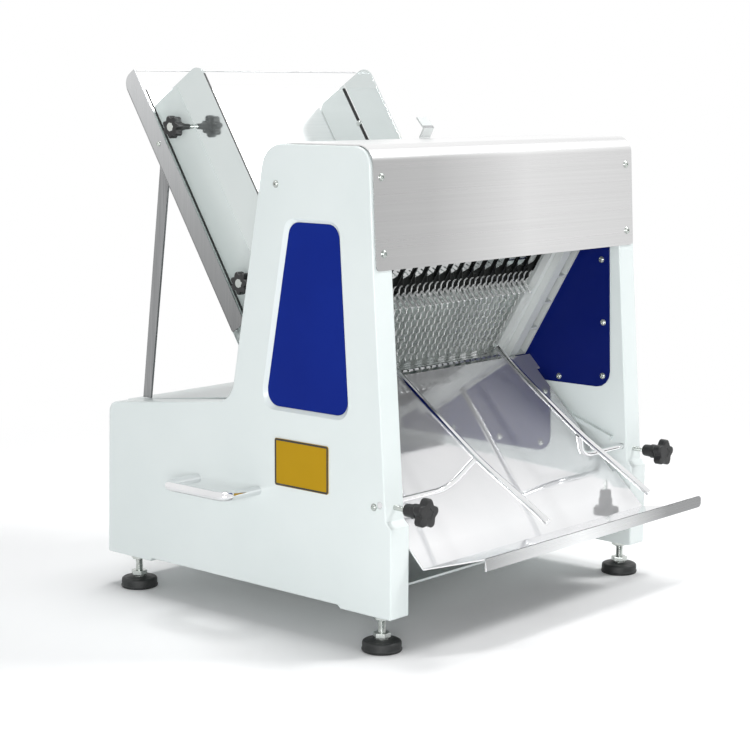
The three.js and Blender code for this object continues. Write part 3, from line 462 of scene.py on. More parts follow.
def pierced(piece, outline, holes, low, high, radius, put):
    """A plate with rounded outer edges and straight holes."""
    outer = piece.skin(plate_rings(outline, low, high, radius, put, 2), OPEN)
    bores = [bore(piece, hole, low, high, put) for hole in holes]
    for end in (0, -1):
        piece.fill(outer[end], *[made[end] for made in bores])


def axes_of(axis):
    along = Vector(axis).normalized()
    side = along.orthogonal().normalized()
    return side, along.cross(side), along


def turned_ring(origin, axes, height, radii):
    """A ring round the last axis at that height, with these radii in turn round it."""
    side, other, along = axes
    ring = []
    for k, radius in enumerate(radii):
        turn = TAU * k / len(radii)
        offset = side * math.cos(turn) + other * math.sin(turn)
        ring.append(origin + offset * radius * MM + along * height * MM)
    return ring


def tube(piece, path, radius, sides=20, rounding=0.0):
    """A round bar along a path; rounding is the radius of its end edges."""
    last = len(path) - 1
    tangents = [(path[min(i + 1, last)] - path[max(i - 1, 0)]).normalized() for i in range(len(path))]
    side = tangents[0].orthogonal().normalized()
    rings = []
    for i, (place, tangent) in enumerate(zip(path, tangents)):
        side = (side - tangent * side.dot(tangent)).normalized()
        axes = (side, tangent.cross(side), tangent)
        steps = [(radius, 0.0)]
        if rounding and i == 0:
            steps = [(radius - by, depth) for by, depth in edge_steps(rounding)]
        if rounding and i == last:
            steps = [(radius - by, -depth) for by, depth in reversed(edge_steps(rounding))]
        rings += [turned_ring(place, axes, along, [reach] * sides) for reach, along in steps]
    piece.skin(rings)


def lathe(piece, origin, axis, profile, sides=32, shape=None):
    """A turned form: profile is (radius, height) along the axis; shape changes the radius by the angle."""
    axes = axes_of(axis)
    rings = []
    for radius, height in profile:
        radii = [radius] * sides
        if shape:
            radii = [shape(radius, height, TAU * k / sides) for k in range(sides)]
        rings.append(turned_ring(origin, axes, height, radii))
    piece.skin(rings)


def turned(name, body, material, place, axis, profile, sides=24):
    """A turned form as a piece of its own."""
    piece = Piece()
    lathe(piece, place, axis, profile, sides)
    piece.make(name, body, material, (), 40)


THREAD_DEPTH = 0.32
THREAD_STEPS = 4


def threaded(piece, place, axis, radius, start, end, pitch, sides=20):
    """A threaded bar from start to end along the axis."""
    axes = axes_of(axis)
    steps = max(2, round((end - start) / pitch * THREAD_STEPS))
    rings = []
    for i in range(steps + 1):
        height = start + (end - start) * i / steps
        radii = []
        for k in range(sides):
            phase = (height / pitch - k / sides) % 1.0
            radii.append(radius - THREAD_DEPTH * pitch * abs(2 * phase - 1))
        rings.append(turned_ring(place, axes, height, radii))
    piece.skin(rings)


def bent(corners, radius, count=10):
    """A path through the corners, each rounded from that far before it to that far after it."""
    path = [corners[0]]
    for i in range(1, len(corners) - 1):
        here = corners[i]
        before = here + (corners[i - 1] - here).normalized() * radius * MM
        after = here + (corners[i + 1] - here).normalized() * radius * MM
        for k in range(count + 1):
            t = k / count
            path.append(before * (1 - t) ** 2 + here * 2 * t * (1 - t) + after * t ** 2)
    path.append(corners[-1])
    return path


def spline(points, count):
    """A centripetal Catmull-Rom line through the points."""
    ends = [points[0] * 2 - points[1]] + list(points) + [points[-1] * 2 - points[-2]]
    line = []
    for i in range(1, len(ends) - 2):
        p0, p1, p2, p3 = ends[i - 1:i + 3]
        d0 = max((p1 - p0).length, 1e-9) ** 0.5
        d1 = max((p2 - p1).length, 1e-9) ** 0.5
        d2 = max((p3 - p2).length, 1e-9) ** 0.5
        m1 = ((p1 - p0) / d0 - (p2 - p0) / (d0 + d1) + (p2 - p1) / d1) * d1
        m2 = ((p2 - p1) / d1 - (p3 - p1) / (d1 + d2) + (p3 - p2) / d2) * d1
        for k in range(count):
            t = k / count
            line.append(p1 * (2 * t ** 3 - 3 * t ** 2 + 1) + m1 * (t ** 3 - 2 * t ** 2 + t)
                        + p2 * (3 * t ** 2 - 2 * t ** 3) + m2 * (t ** 3 - t ** 2))
    line.append(points[-1])
    return line


# Screws

def cross_slot(half, width):
    """The radius of a cross-shaped recess at an angle."""
    def reach(turn):
        folded = abs((turn + math.pi / 4) % (math.pi / 2) - math.pi / 4)
        along = half / max(math.cos(folded), 0.2)
        across = width / max(math.sin(folded), 1e-6)
        return min(along, across) if folded > 1e-6 else half
    return reach


def screw(piece, place, axis, radius, height):
    """A pan head with a cross recess, on a thin washer."""
    recess = cross_slot(radius * 0.52, radius * 0.13)

    def shape(value, _, turn):
        return min(recess(turn), value) if value < radius * 0.6 else value

    profile = [
        (radius * 1.25, 0.0), (radius * 1.25, 0.35), (radius * 1.22, 0.5), (radius, 0.5),
        (radius, height * 0.45), (radius * 0.94, height * 0.72), (radius * 0.8, height * 0.9),
        (radius * 0.62, height), (radius * 0.59, height), (radius * 0.55, height * 0.45),
    ]
    lathe(piece, place, axis, profile, 32, shape)


def screw_group(name, heads, radius, height=2.4):
    """One piece of several screws; heads are (place, axis)."""
    piece = Piece()
    for place, axis in heads:
        screw(piece, place, axis, radius, height)
    piece.make(name, "body", ZINC)


# Side frames with their window recess

BASE_DEPTH = 8
BASE_HEIGHT = 112
MID_DEPTH = 28.6
MID_HEIGHT = 418
TOP_DEPTH = 36
TOP_ROUND = 24
TOP_REAR = 209
BACK_ROUND = 34
DECK_FRONT = (272, 236)
DECK_REAR = (510, 209)
DEPTH = 517
HEIGHT = 564
ARCH = 4  # height of the gap between the frame's front and rear foot
ARCH_ENDS = (87, 427)
FRAME_EDGE = 2.2
WINDOW_BOTTOM = 235
WINDOW_SHOULDER = 262
WINDOW_TOP = 474
WINDOW_LOW_ENDS = (68, 213)
WINDOW_HIGH_ENDS = (84, 173)
WINDOW_ROUND = 18
WINDOW_BEVEL = 4
WINDOW_DEPTH = 6
ROD_PLACE = (18, 139.5)
ROD_BORE = 4.35


def front_depth(height):
    """Depth of the frames' front edge above its middle."""
    return MID_DEPTH + (height - MID_HEIGHT) * (TOP_DEPTH - MID_DEPTH) / (HEIGHT - MID_HEIGHT)


def frame_outline():
    front, rear = ARCH_ENDS
    return rounded([
        (0, 0, 3), (front - ARCH, 0), (front, ARCH), (rear, ARCH), (rear + ARCH, 0), (DEPTH, 0, 3),
        (*DECK_REAR, 15), (*DECK_FRONT, BACK_ROUND), (TOP_REAR, HEIGHT, BACK_ROUND),
        (TOP_DEPTH, HEIGHT, TOP_ROUND), (MID_DEPTH, MID_HEIGHT),
        (BASE_DEPTH, BASE_HEIGHT + BASE_DEPTH), (0, BASE_HEIGHT),
    ], 10)


def window_outline(by):
    """The window's outline, moved inwards by that much."""
    low_front, low_rear = WINDOW_LOW_ENDS
    high_front, high_rear = WINDOW_HIGH_ENDS
    bottom, top = WINDOW_BOTTOM + by, WINDOW_TOP - by
    return rounded([
        (low_front + by, bottom, WINDOW_ROUND), (low_rear - by, bottom, WINDOW_ROUND),
        (low_rear - by, WINDOW_SHOULDER),
        (high_rear - by, top, WINDOW_ROUND), (high_front + by, top, WINDOW_ROUND),
    ], 10)


def side_frame(side):
    name = side_name(side)
    put = on_side(side)
    piece = Piece()
    casting = piece.skin(plate_rings(frame_outline(), INNER, OUTER, FRAME_EDGE, put, 3), OPEN)
    rod = bore(piece, circle(*ROD_PLACE, ROD_BORE), INNER, OUTER, put)
    steps = [
        (0.0, -0.6), (0.4, -0.1), (0.9, 0.5), (WINDOW_BEVEL, WINDOW_BEVEL - 0.4),
        (WINDOW_BEVEL + 0.4, WINDOW_BEVEL), (WINDOW_DEPTH, WINDOW_BEVEL),
    ]
    recess = piece.skin([[put(y, z, OUTER - depth) for y, z in window_outline(by)] for depth, by in steps],
                        caps=(False, True))
    piece.fill(casting[0], rod[0])
    piece.fill(casting[-1], recess[0], rod[1])
    piece.make(f"frame_casting_{name}", "body", WHITE, [f"side_frame_{name}"])


def window_sheet(side):
    name = side_name(side)
    piece = Piece()
    bottom = OUTER - WINDOW_DEPTH
    slab(piece, window_outline(WINDOW_BEVEL + SEAT), bottom + SEAT, bottom + 2, 0.4, on_side(side), 2)
    piece.make(f"window_sheet_{name}", "body", BLUE, [f"window_cover_{name}"])


# Hood

HOOD_REACH = 266.0
HOOD_ROUND = 21.0
HOOD_CORNER = 6.0
HOOD_REAR = 175
CORNER_STEPS = 6
ROUND_STEPS = 16


def hood():
    """One bent sheet with rounded lower corners."""
    low = MID_DEPTH - SEAT
    high = front_depth(HEIGHT - TOP_ROUND) - SEAT
    top = HEIGHT + SEAT
    front = top - HOOD_ROUND
    turns = [math.pi / 2 * i / CORNER_STEPS for i in range(CORNER_STEPS + 1)]
    heights = [MID_HEIGHT + HOOD_CORNER * (1 - math.cos(turn)) for turn in turns]
    heights += [MID_HEIGHT + (front - MID_HEIGHT) * share for share in (0.25, 0.5, 0.75)]
    line = [(low + (high - low) * (z - MID_HEIGHT) / (front - MID_HEIGHT), z) for z in heights]
    line += arc((high + HOOD_ROUND, front), HOOD_ROUND, math.pi, math.pi / 2, ROUND_STEPS)
    points = [Vector(place) for place in line + [(120, top), (HOOD_REAR, top)]]
    piece = Piece()
    rings = []
    for i, place in enumerate(points):
        step = (points[min(i + 1, len(points) - 1)] - points[max(i - 1, 0)]).normalized()
        outer = place + Vector((-step.y, step.x)) * SHEET
        rise = max(HOOD_CORNER - (place.y - MID_HEIGHT), 0.0)
        reach = HOOD_REACH - HOOD_CORNER + math.sqrt(HOOD_CORNER ** 2 - rise ** 2)
        rings.append([
            at(-reach, place.x, place.y), at(reach, place.x, place.y),
            at(reach, outer.x, outer.y), at(-reach, outer.x, outer.y),
        ])
    piece.skin(rings)
    piece.make("hood_sheet", "body", HOOD, ["hood"])


# Infeed chute: satin floor with cross slots, brushed side walls with a mirror lining, and a thin cross bar

FLOOR_REACH = INNER - 1
FLOOR_TOP = -14
SLOT_ENDS = (133, 220)
SLOT_HALF = 3.3
WALL_BOTTOM = 70 - CHUTE_LENGTH
WALL_HEIGHT = 25.5
WALL_INNER = INNER - 2.5
WALL_OUTER = INNER - 1
CROSS_BAR_REACH = 234.0


def chute_floor():
    near, far = SLOT_ENDS
    slots = []
    for side in (-1, 1):
        middle = side * (near + far) / 2
        reach = (far - near) / 2 + SLOT_HALF
        left, right = middle - reach, middle + reach
        for place in KNOB_PLACES.values():
            slots.append(rectangle(left, -place - SLOT_HALF, right, -place + SLOT_HALF, 3.2, 4))
    piece = Piece()
    outline = rectangle(-FLOOR_REACH, -CHUTE_LENGTH, FLOOR_REACH, FLOOR_TOP)
    pierced(piece, outline, slots, -SHEET, 0.0, 0.3, on_chute)
    piece.make("chute_floor", "body", SATIN, ["infeed_chute"])


def chute_walls():
    walls = Piece()
    liner = Piece()
    wall = rounded([
        (WALL_BOTTOM, -SHEET, 2), (0, -SHEET, 16), (0, WALL_HEIGHT, 1), (WALL_BOTTOM, WALL_HEIGHT, 3),
    ], 10)
    lining = rectangle(WALL_BOTTOM + 3, 0.6, -15, 24.8)
    heads = []
    for side in (-1, 1):
        def put(up, out, x, side=side):
            return on_chute(side * x, up, out)

        slab(walls, wall, WALL_INNER, WALL_OUTER, 0.4, put, 2)
        slab(liner, lining, WALL_INNER - 0.3, WALL_INNER + 0.1, 0.05, put)
        heads.append((put(-KNOB_PLACES["upper"], 12, WALL_OUTER), (side, 0, 0)))
    tube(walls, [on_chute(x, -1.5, 24) for x in (-CROSS_BAR_REACH, 0.0, CROSS_BAR_REACH)], 0.9, 12)
    walls.make("chute_walls", "body", FLANGE)
    liner.make("chute_liner", "body", MIRROR)
    screw_group("chute_wall_screws", heads, 3.2, 2.0)


# Chute guides: a bent sheet with a painted highlight line along its crease, a satin band and dark strips of
# painted shade

GUIDE_TOP = -44.5
GUIDE_BOTTOM = 22.5 - CHUTE_LENGTH
GUIDE_HEIGHT = 110.0
GUIDE_SHEET = 3.0
GUIDE_FOOT_TOP = GUIDE_TOP - 10
GUIDE_FOOT_WIDTH = 23
GUIDE_FOOT_BOLT = 13
GUIDE_BORE = 3.3
STRIP = (52.4, 57.6)
# a painted highlight along the guide sheet's crease
CREASE_HIGHLIGHT = (57.8, 59.4)
SATIN_BAND = (5.2, 58.0)


def guide_sheet(name, body, upright, lying):
    piece = Piece()
    face = rounded([
        (GUIDE_BOTTOM, SEAT), (GUIDE_TOP, SEAT, 10), (GUIDE_TOP, GUIDE_HEIGHT, 16.8),
        (GUIDE_BOTTOM, GUIDE_HEIGHT, 16),
    ], 12)
    holes = [circle(-place, KNOB_HEIGHT, GUIDE_BORE) for place in KNOB_PLACES.values()]
    pierced(piece, face, holes, 0.0, GUIDE_SHEET, 0.3, upright)
    foot_face = rounded([
        (GUIDE_BOTTOM, 2.9), (GUIDE_FOOT_TOP, 2.9), (GUIDE_FOOT_TOP, GUIDE_FOOT_WIDTH, 4),
        (GUIDE_BOTTOM, GUIDE_FOOT_WIDTH, 4),
    ], 6)
    holes = [circle(-place, GUIDE_FOOT_BOLT, GUIDE_BORE) for place in KNOB_PLACES.values()]
    pierced(piece, foot_face, holes, SEAT, SEAT + GUIDE_SHEET, 0.3, lying)
    piece.make(f"guide_sheet_{name}", body, GUIDE, [body])


def guide_gap_shade(name, body, upright, lying):
    """Dark strips of painted shade in the middle slot and in the gap along the foot; the left guide also
    has a dark upper edge and a longer foot strip.
    """
    piece = Piece()
    low, high = STRIP
    strip = rounded([
        (GUIDE_BOTTOM, low, 1), (GUIDE_TOP - 4, low, 1), (GUIDE_TOP - 4, high, 4), (GUIDE_BOTTOM, high, 1),
    ], 6)
    slab(piece, strip, -0.25, 0.05, 0.05, upright)
    if name == "left":
        slab(piece, rectangle(GUIDE_BOTTOM + 16, -0.1, GUIDE_TOP - 16, GUIDE_SHEET + 0.1),
             GUIDE_HEIGHT - 0.1, GUIDE_HEIGHT + 0.08, 0.03, lying)
    slab(piece, rectangle(GUIDE_BOTTOM, 3.1, GUIDE_TOP - 2, 4.0), 3.4, 4.6, 0.2, lying)
    if name == "left":
        slab(piece, rectangle(GUIDE_TOP - 2, 3.1, GUIDE_TOP + 27, 5.0), 3.4, 5.0, 0.3, lying)
    piece.make(f"guide_gap_shade_{name}", body, GAP_SHADE)


def chute_guide(side):
    name = side_name(side)
    body = f"chute_guide_{name}"

    def upright(up, out, beside):
        return on_chute(side * (GUIDE_PLACES[side] + beside), up, out)

    def lying(up, beside, out):
        return upright(up, out, beside)

    guide_sheet(name, body, upright, lying)
    # A bright line painted as the highlight along the sheet's crease
    line = Piece()
    outline = rectangle(GUIDE_BOTTOM, CREASE_HIGHLIGHT[0], GUIDE_TOP, CREASE_HIGHLIGHT[1])
    slab(line, outline, -0.2, 0.05, 0.05, upright)
    line.make(f"guide_crease_highlight_{name}", body, CUTTING)
    band = Piece()
    outline = rectangle(GUIDE_BOTTOM + 1, SATIN_BAND[0], GUIDE_TOP - 1, SATIN_BAND[1])
    slab(band, outline, GUIDE_SHEET - 0.05, GUIDE_SHEET + 0.08, 0.04, upright)
    band.make(f"guide_band_{name}", body, BAND)
    guide_gap_shade(name, body, upright, lying)


# Star knobs

def star(lobes, hub, depth, deep):
    """A shape that dips between the lobes above the hub, a little less at its outer face."""
    def shape(radius, height, turn):
        if height < hub - 0.01:
            return radius
        share = deep if height < depth * 0.97 else deep * 0.8
        valley = (1 - math.cos(turn * lobes)) / 2
        return radius * (1 - share * valley ** 1.3)
    return shape


def knob_star(knob, place, axis, radius, depth, lobes, neck, deep):
    """A moulded star grip whose hub starts at the place and whose neck reaches back from it."""
    hub = 0.3 * depth
    slim = radius * 0.24
    profile = [(slim * 0.9, -neck), (slim, 0.6 - neck), (slim * 1.08, -neck * 0.55)] if neck else []
    profile += [
        (radius * 0.40, -0.01 if neck else 0.0), (radius * 0.48, 0.4), (radius * 0.5, hub * 0.5),
        (radius * 0.52, hub * 0.9), (radius * 0.86, hub), (radius * 0.95, hub + 0.5),
        (radius, hub + 1.6), (radius, depth - 2.0), (radius * 0.97, depth - 0.8),
        (radius * 0.9, depth - 0.2), (radius * 0.8, depth), (radius * 0.42, depth),
        (radius * 0.4, depth - 0.5),
    ]
    piece = Piece()
    lathe(piece, place, axis, profile, lobes * 16, star(lobes, hub, depth, deep))
    piece.make(f"{knob}_star", knob, BLACK, [knob], 50)


GRIP_STANDOFF = 26
CLAMP_PLACE = (-28, 135.5)
CLAMP_STEM = 41.0


def chute_knob(side, level):
    name = f"chute_knob_{level}_{side_name(side)}"
    axis = (side, 0, 0)
    up = -KNOB_PLACES[level]
    face = on_chute(side * GUIDE_PLACES[side], up, KNOB_HEIGHT)
    grip = on_chute(side * (GUIDE_PLACES[side] + GRIP_STANDOFF), up, KNOB_HEIGHT)
    turned(f"{name}_bolt", name, ZINC, face, axis, [
        (3.1, -2.6), (3.8, -2.2), (4.1, -1.5), (4.1, -0.3), (3.0, -0.3), (3.0, 10.5),
    ])
    knob_star(name, grip, axis, 15.0, 18.0, 7, 16.0, 0.26)
    turned(f"{name}_cap", name, ZINC, grip, axis, [
        (5.6, 17.0), (5.9, 17.6), (5.4, 18.0), (4.6, 18.15),
    ])


def clamp_knob(side):
    name = f"clamp_knob_{side_name(side)}"
    place = at(side * FOOT_PLACE, *CLAMP_PLACE)
    knob_star(name, place, (0, -1, 0), 18.5, 17.0, 5, 0.0, 0.3)
    turned(f"{name}_hub", name, BLACK, place, (0, 1, 0), [
        (9.6, -1.0), (9.6, 6.0), (9.2, 6.6), (8.4, 6.8), (8.0, 17.0), (7.4, 18.4), (6.4, 18.8),
    ], 28)
    stem = Piece()
    threaded(stem, place, (0, 1, 0), 3.2, 0.0, CLAMP_STEM, 1.0)
    stem.make(f"{name}_stem", name, ZINC, (), 60)


# Blades with their wavy edges, and the comb's fingers between them

PITCH = 12.0
COUNT = 31
WAVE = 12.0
WAVE_DEPTH = 2.2
WAVE_STEPS = 8
CUT = (-6.0, 126.0)
BLADE_HALF = 6.5  # half the width of a blade
BLADE_SIDE = 0.4  # half its thickness
BLADE_GAP = 0.6  # distance of its plain ends from the plane between the two sets
SHARP_SIDE = 0.12  # half the thickness of its sharp edge
GRIND = 1.8
GROUND_SECTION = ((-0.55, -1.5), (-0.5, 0.1), (0.5, 0.1), (0.55, -1.5))  # bright edge, across and ahead
PLAIN_LOW = (-96.0, -18.0)
PLAIN_HIGH = (138.0, 220.0)
CLAMP_BARS = (-102.0, 214.0)
CLAMP_BAR_WIDTH = 12
FINGER_SLOPE = math.radians(50)
FINGER_ROOT = Vector((149.5, 370.3))
FINGER_HALF = 2.3
FINGER_LENGTH = 26.0


def blade_x(i):
    return (i - (COUNT - 1) / 2) * PITCH


def blade_profile(facing):
    """Stations up the blade: (height, rear edge, front edge)."""
    inner, outer = sorted((facing * BLADE_GAP, facing * BLADE_HALF))
    stations = [(height, inner, outer) for height in PLAIN_LOW]
    count = int((CUT[1] - CUT[0]) / WAVE) * WAVE_STEPS
    for i in range(count + 1):
        height = CUT[0] + (CUT[1] - CUT[0]) * i / count
        phase = (i % WAVE_STEPS) / WAVE_STEPS
        dip = WAVE_DEPTH * math.sin(math.pi * phase)
        stations.append((height, dip - BLADE_HALF, BLADE_HALF - dip))
    return stations + [(height, inner, outer) for height in PLAIN_HIGH]


def blade_set(label, facing, first):
    """Every second blade, starting with the first, with its clamp bars and ground edges."""
    name = f"blades_{label}"
    blades = Piece()
    edges = Piece()
    stations = blade_profile(facing)
    ground = [station for station in stations if CUT[0] <= station[0] <= CUT[1]]
    for i in range(first, COUNT, 2):
        x = blade_x(i)
        rings = []
        for height, rear, front in stations:
            edge = SHARP_SIDE if CUT[0] <= height <= CUT[1] else BLADE_SIDE
            rings.append([
                on_blade(x - edge, height, rear), on_blade(x + edge, height, rear),
                on_blade(x + BLADE_SIDE, height, rear + GRIND), on_blade(x + BLADE_SIDE, height, front),
                on_blade(x - BLADE_SIDE, height, front), on_blade(x - BLADE_SIDE, height, rear + GRIND),
            ])
        blades.skin(rings)
        edges.skin([[on_blade(x + across, height, front + ahead) for across, ahead in GROUND_SECTION]
                    for height, _, front in ground])
    edges.make(f"{name}_edges", f"blade_frame_{label}", CUTTING, (), 60)
    reach = blade_x(COUNT - 1) + 4
    low, high = sorted((facing * BLADE_GAP, facing * BLADE_HALF))
    for start in CLAMP_BARS:
        bar = rectangle(-reach, start, reach, start + CLAMP_BAR_WIDTH, 1, 3)
        slab(blades, bar, low, high, 0.4, on_blade)
    blades.make(f"{name}_wavy", f"blade_frame_{label}", BLADES, [name], 30)


def comb_fingers():
    """The bent ends of the upper comb's teeth, which come out between the blades and hang down in front."""
    piece = Piece()
    ahead = Vector((-math.cos(FINGER_SLOPE), -math.sin(FINGER_SLOPE)))
    out = Vector((-math.sin(FINGER_SLOPE), math.cos(FINGER_SLOPE)))
    put = on_fold(FINGER_ROOT, ahead, out)
    for i in range(COUNT - 1):
        x = blade_x(i) + PITCH / 2
        finger = rounded([
            (x - FINGER_HALF, -1.0), (x + FINGER_HALF, -1.0),
            (x + FINGER_HALF, FINGER_LENGTH, 1.6), (x - FINGER_HALF, FINGER_LENGTH, 1.6),
        ], 4)
        slab(piece, finger, -1.0, 1.0, 0.3, put)
    piece.make("comb_fingers", "body", CUTTING)


# Feet

FOOT_DEPTHS = {"front": 29, "rear": 473}
STUD_RADIUS = 4.9
STUD_TOP = 69.0
NUT_RADIUS = 11.0
NUTS = ((16.6, 23.0), (39.5, 44.7))


def foot(side, label):
    name = f"{label}_{side_name(side)}"
    body = f"foot_{name}"
    base = at(side * FOOT_PLACE, FOOT_DEPTHS[label], -FOOT)
    pad = Piece()
    lathe(pad, base, UPWARDS, [
        (22.5, 0.0), (24.2, 0.6), (25.0, 2.0), (25.0, 3.2), (24.4, 3.8), (24.2, 4.4), (24.2, 10.6),
        (23.6, 12.2), (22.0, 13.2), (20.4, 13.6), (18.4, 13.4), (17.2, 13.8), (13.0, 14.6), (11.2, 15.0),
        (6.8, 15.0), (6.6, 9.0), (6.4, 8.4),
    ], 48)
    pad.make(f"foot_rubber_{name}", body, RUBBER, [f"foot_pad_{name}"], 40)
    stud = Piece()
    lathe(stud, base, UPWARDS, [
        (5.0, 8.0), (6.0, 8.8), (6.0, 15.2), (9.6, 15.3), (9.6, 16.2), (6.2, 16.8), (4.6, 17.4),
    ], 24)
    threaded(stud, base, UPWARDS, STUD_RADIUS, 17.0, STUD_TOP, 1.5)
    hexagon = circle(0, 0, NUT_RADIUS, 6)
    for low, high in NUTS:
        slab(stud, hexagon, low, high, 0.7, lambda u, v, w: base + Vector((u, v, w)) * MM, 2)
    stud.make(f"foot_screw_{name}", body, ZINC, [f"foot_stud_{name}"], 40)


# Bars: handles and guide rails

HANDLE_PLACE = 279
HANDLE_HALF = 55.5
HANDLE_REACH = 58
HANDLE_HEIGHT = 128
HANDLE_RADIUS = 6.0
RAIL_PLACE = 110
RAIL_TOP = (141, 280)
RAIL_SPAN = (254, 168)
RAIL_RADIUS = 4.0
RAIL_REACH = (0, 0.189, 0.362, 0.579, 0.803, 1)
RAIL_FALL = (0, 0.22, 0.405, 0.631, 0.827, 1)
ARM_BEND = 142
ARM_END = (0.5, 175.5)


def handle(side):
    name = side_name(side)
    near, far = side * (OUTER + SEAT), side * (OUTER + HANDLE_REACH)
    front, rear = HANDLE_PLACE - HANDLE_HALF, HANDLE_PLACE + HANDLE_HALF
    corners = [at(x, y, HANDLE_HEIGHT) for x, y in ((near, front), (far, front), (far, rear), (near, rear))]
    piece = Piece()
    tube(piece, bent(corners, 17), HANDLE_RADIUS, 28)
    piece.make(f"handle_bar_{name}", "body", CHROME, [f"handle_{name}"], 50)


def guide_rail(side):
    """A bent rail that falls to the front, and the arm that carries it from the side frame."""
    name = side_name(side)
    x = side * RAIL_PLACE
    points = [at(x, RAIL_TOP[0] - RAIL_SPAN[0] * a, RAIL_TOP[1] - RAIL_SPAN[1] * b)
              for a, b in zip(RAIL_REACH, RAIL_FALL)]
    arm = [at(side * (OUTER - SEAT), *ROD_PLACE), at(side * ARM_BEND, *ROD_PLACE), at(x, *ARM_END)]
    piece = Piece()
    tube(piece, spline(points, 6), RAIL_RADIUS, 20, 0.8)
    tube(piece, bent(arm, 24), RAIL_RADIUS, 20)
    piece.make(f"bent_rail_{name}", f"guide_rail_{name}", CHROME, [f"guide_rail_{name}"], 50)


# Screws on hood, covers and frames

HOOD_SCREW_PLACE = 252
HOOD_SCREW_HEIGHTS = (438.0, 528.0)
COVER_SCREWS = ((57, 397), (52, 310), (51, 235), (126, 227), (198, 242))
FRAME_SCREWS = ((189, 515), (27, 136))


def screws():
    slope = Vector((0, -(HEIGHT - MID_HEIGHT), TOP_DEPTH - MID_DEPTH)).normalized()
    face = INNER - SEAT - SHEET
    hood_heads = []
    cover_heads = []
    frame_heads = []
    for side in (-1, 1):
        for height in HOOD_SCREW_HEIGHTS:
            depth = front_depth(height) - SEAT - SHEET
            hood_heads.append((at(side * HOOD_SCREW_PLACE, depth, height), slope))
        cover_heads += [(at(side * face, *place), (-side, 0, 0)) for place in COVER_SCREWS]
        frame_heads += [(at(side * OUTER, *place), (side, 0, 0)) for place in FRAME_SCREWS]
    screw_group("hood_screws", hood_heads, 4.2)
    screw_group("cover_screws", cover_heads, 3.6)
    screw_group("frame_screws", frame_heads, 3.8)


# Small parts: the press tab's painted fold shade, the tray's lip and the label's border

FOLD_PLACE = Vector((164.6, 579.4))
FOLD_AHEAD = Vector((0.675, 0.738))
FOLD_OUT = Vector((-0.738, 0.675))
FOLD_BOX = (-18.8, 0.3, 0.8, 4.2)
LIP_LEFT = -160.2
LIP_RIGHT = INNER + 90
LIP_HEIGHTS = (50.0, 66.0)
LIP_DEPTHS = (-56.95, -55.0)
LABEL_BOX = (101.4, 140.4, 192.1, 199.6)
LABEL_SHEET = 0.8
BORDER_WIDTH = 2.4
BORDER_LIFT = 0.16


def tab_fold():
    """A dark band of painted shade along the fold of the press tab."""
    piece = Piece()
    slab(piece, rectangle(*FOLD_BOX), -0.1, 0.25, 0.05, on_fold(FOLD_PLACE, FOLD_AHEAD, FOLD_OUT))
    piece.make("press_tab_fold_shade", "body", STRUT)


def tray_lip():
    """A folded lip along the shelf's front, bright left of its middle, with painted reflection and shade
    towards both ends.
    """
    piece = Piece()
    low, high = LIP_HEIGHTS
    outline = rounded([
        (LIP_LEFT + 3, low, 0.5), (LIP_RIGHT, low, 6), (LIP_RIGHT, high, 6), (LIP_LEFT, high, 0.5),
    ])
    slab(piece, outline, *LIP_DEPTHS, 0.35, lambda x, z, y: at(x, y, z), 2)
    piece.make("tray_lip", "body", LIP)


def label_border():
    piece = Piece()
    x = -(OUTER + SEAT + LABEL_SHEET)
    outer = rectangle(*LABEL_BOX, 3, 6)
    rings = []
    for by, lift in ((0.0, 0.0), (0.0, BORDER_LIFT), (BORDER_WIDTH, BORDER_LIFT), (BORDER_WIDTH, 0.0)):
        rings.append([at(x - lift, y, z) for y, z in inset(outer, by)])
    made = piece.skin(rings, OPEN)
    piece.join(made[-1], made[0])
    piece.make("label_border", "body", INK, (), 40)


for side in (-1, 1):
    side_frame(side)
    window_sheet(side)
    handle(side)
    guide_rail(side)
    chute_guide(side)
    for label in FOOT_DEPTHS:
        foot(side, label)
    for level in KNOB_PLACES:
        chute_knob(side, level)
    clamp_knob(side)
hood()
chute_floor()
chute_walls()
blade_set("front", 1, 0)
blade_set("rear", -1, 1)
screws()
comb_fingers()
tab_fold()
tray_lip()
label_border()


# Room and light

WORLD_STRENGTH = 0.39
FLOOR_HALF = 60.0
FADE = (0.55, 1.5)  # the floor turns white between these distances, in metres

# Place, target and size in metres, and power in watts

LAMPS = {
    "key": ((-3.2, -2.5, 0.65), (0, 0, 0.35), (1.6, 1.2), 83),
    "top": ((0.1, 0.3, 3.2), (0, 0, 0.3), (0.9, 0.9), 56),
    "side": ((1.7, -1.6, 2.6), (0, 0, 0.2), (0.8, 0.8), 56),
}


def light_paths(tree):
    """1 for camera, glossy and transmission rays, otherwise 0."""
    paths = add_node(tree, "ShaderNodeLightPath")
    first = add_node(tree, "ShaderNodeMath", operation="MAXIMUM")
    second = add_node(tree, "ShaderNodeMath", operation="MAXIMUM")
    tree.links.new(paths.outputs["Is Camera Ray"], first.inputs[0])
    tree.links.new(paths.outputs["Is Glossy Ray"], first.inputs[1])
    tree.links.new(first.outputs[0], second.inputs[0])
    tree.links.new(paths.outputs["Is Transmission Ray"], second.inputs[1])
    return second.outputs[0]


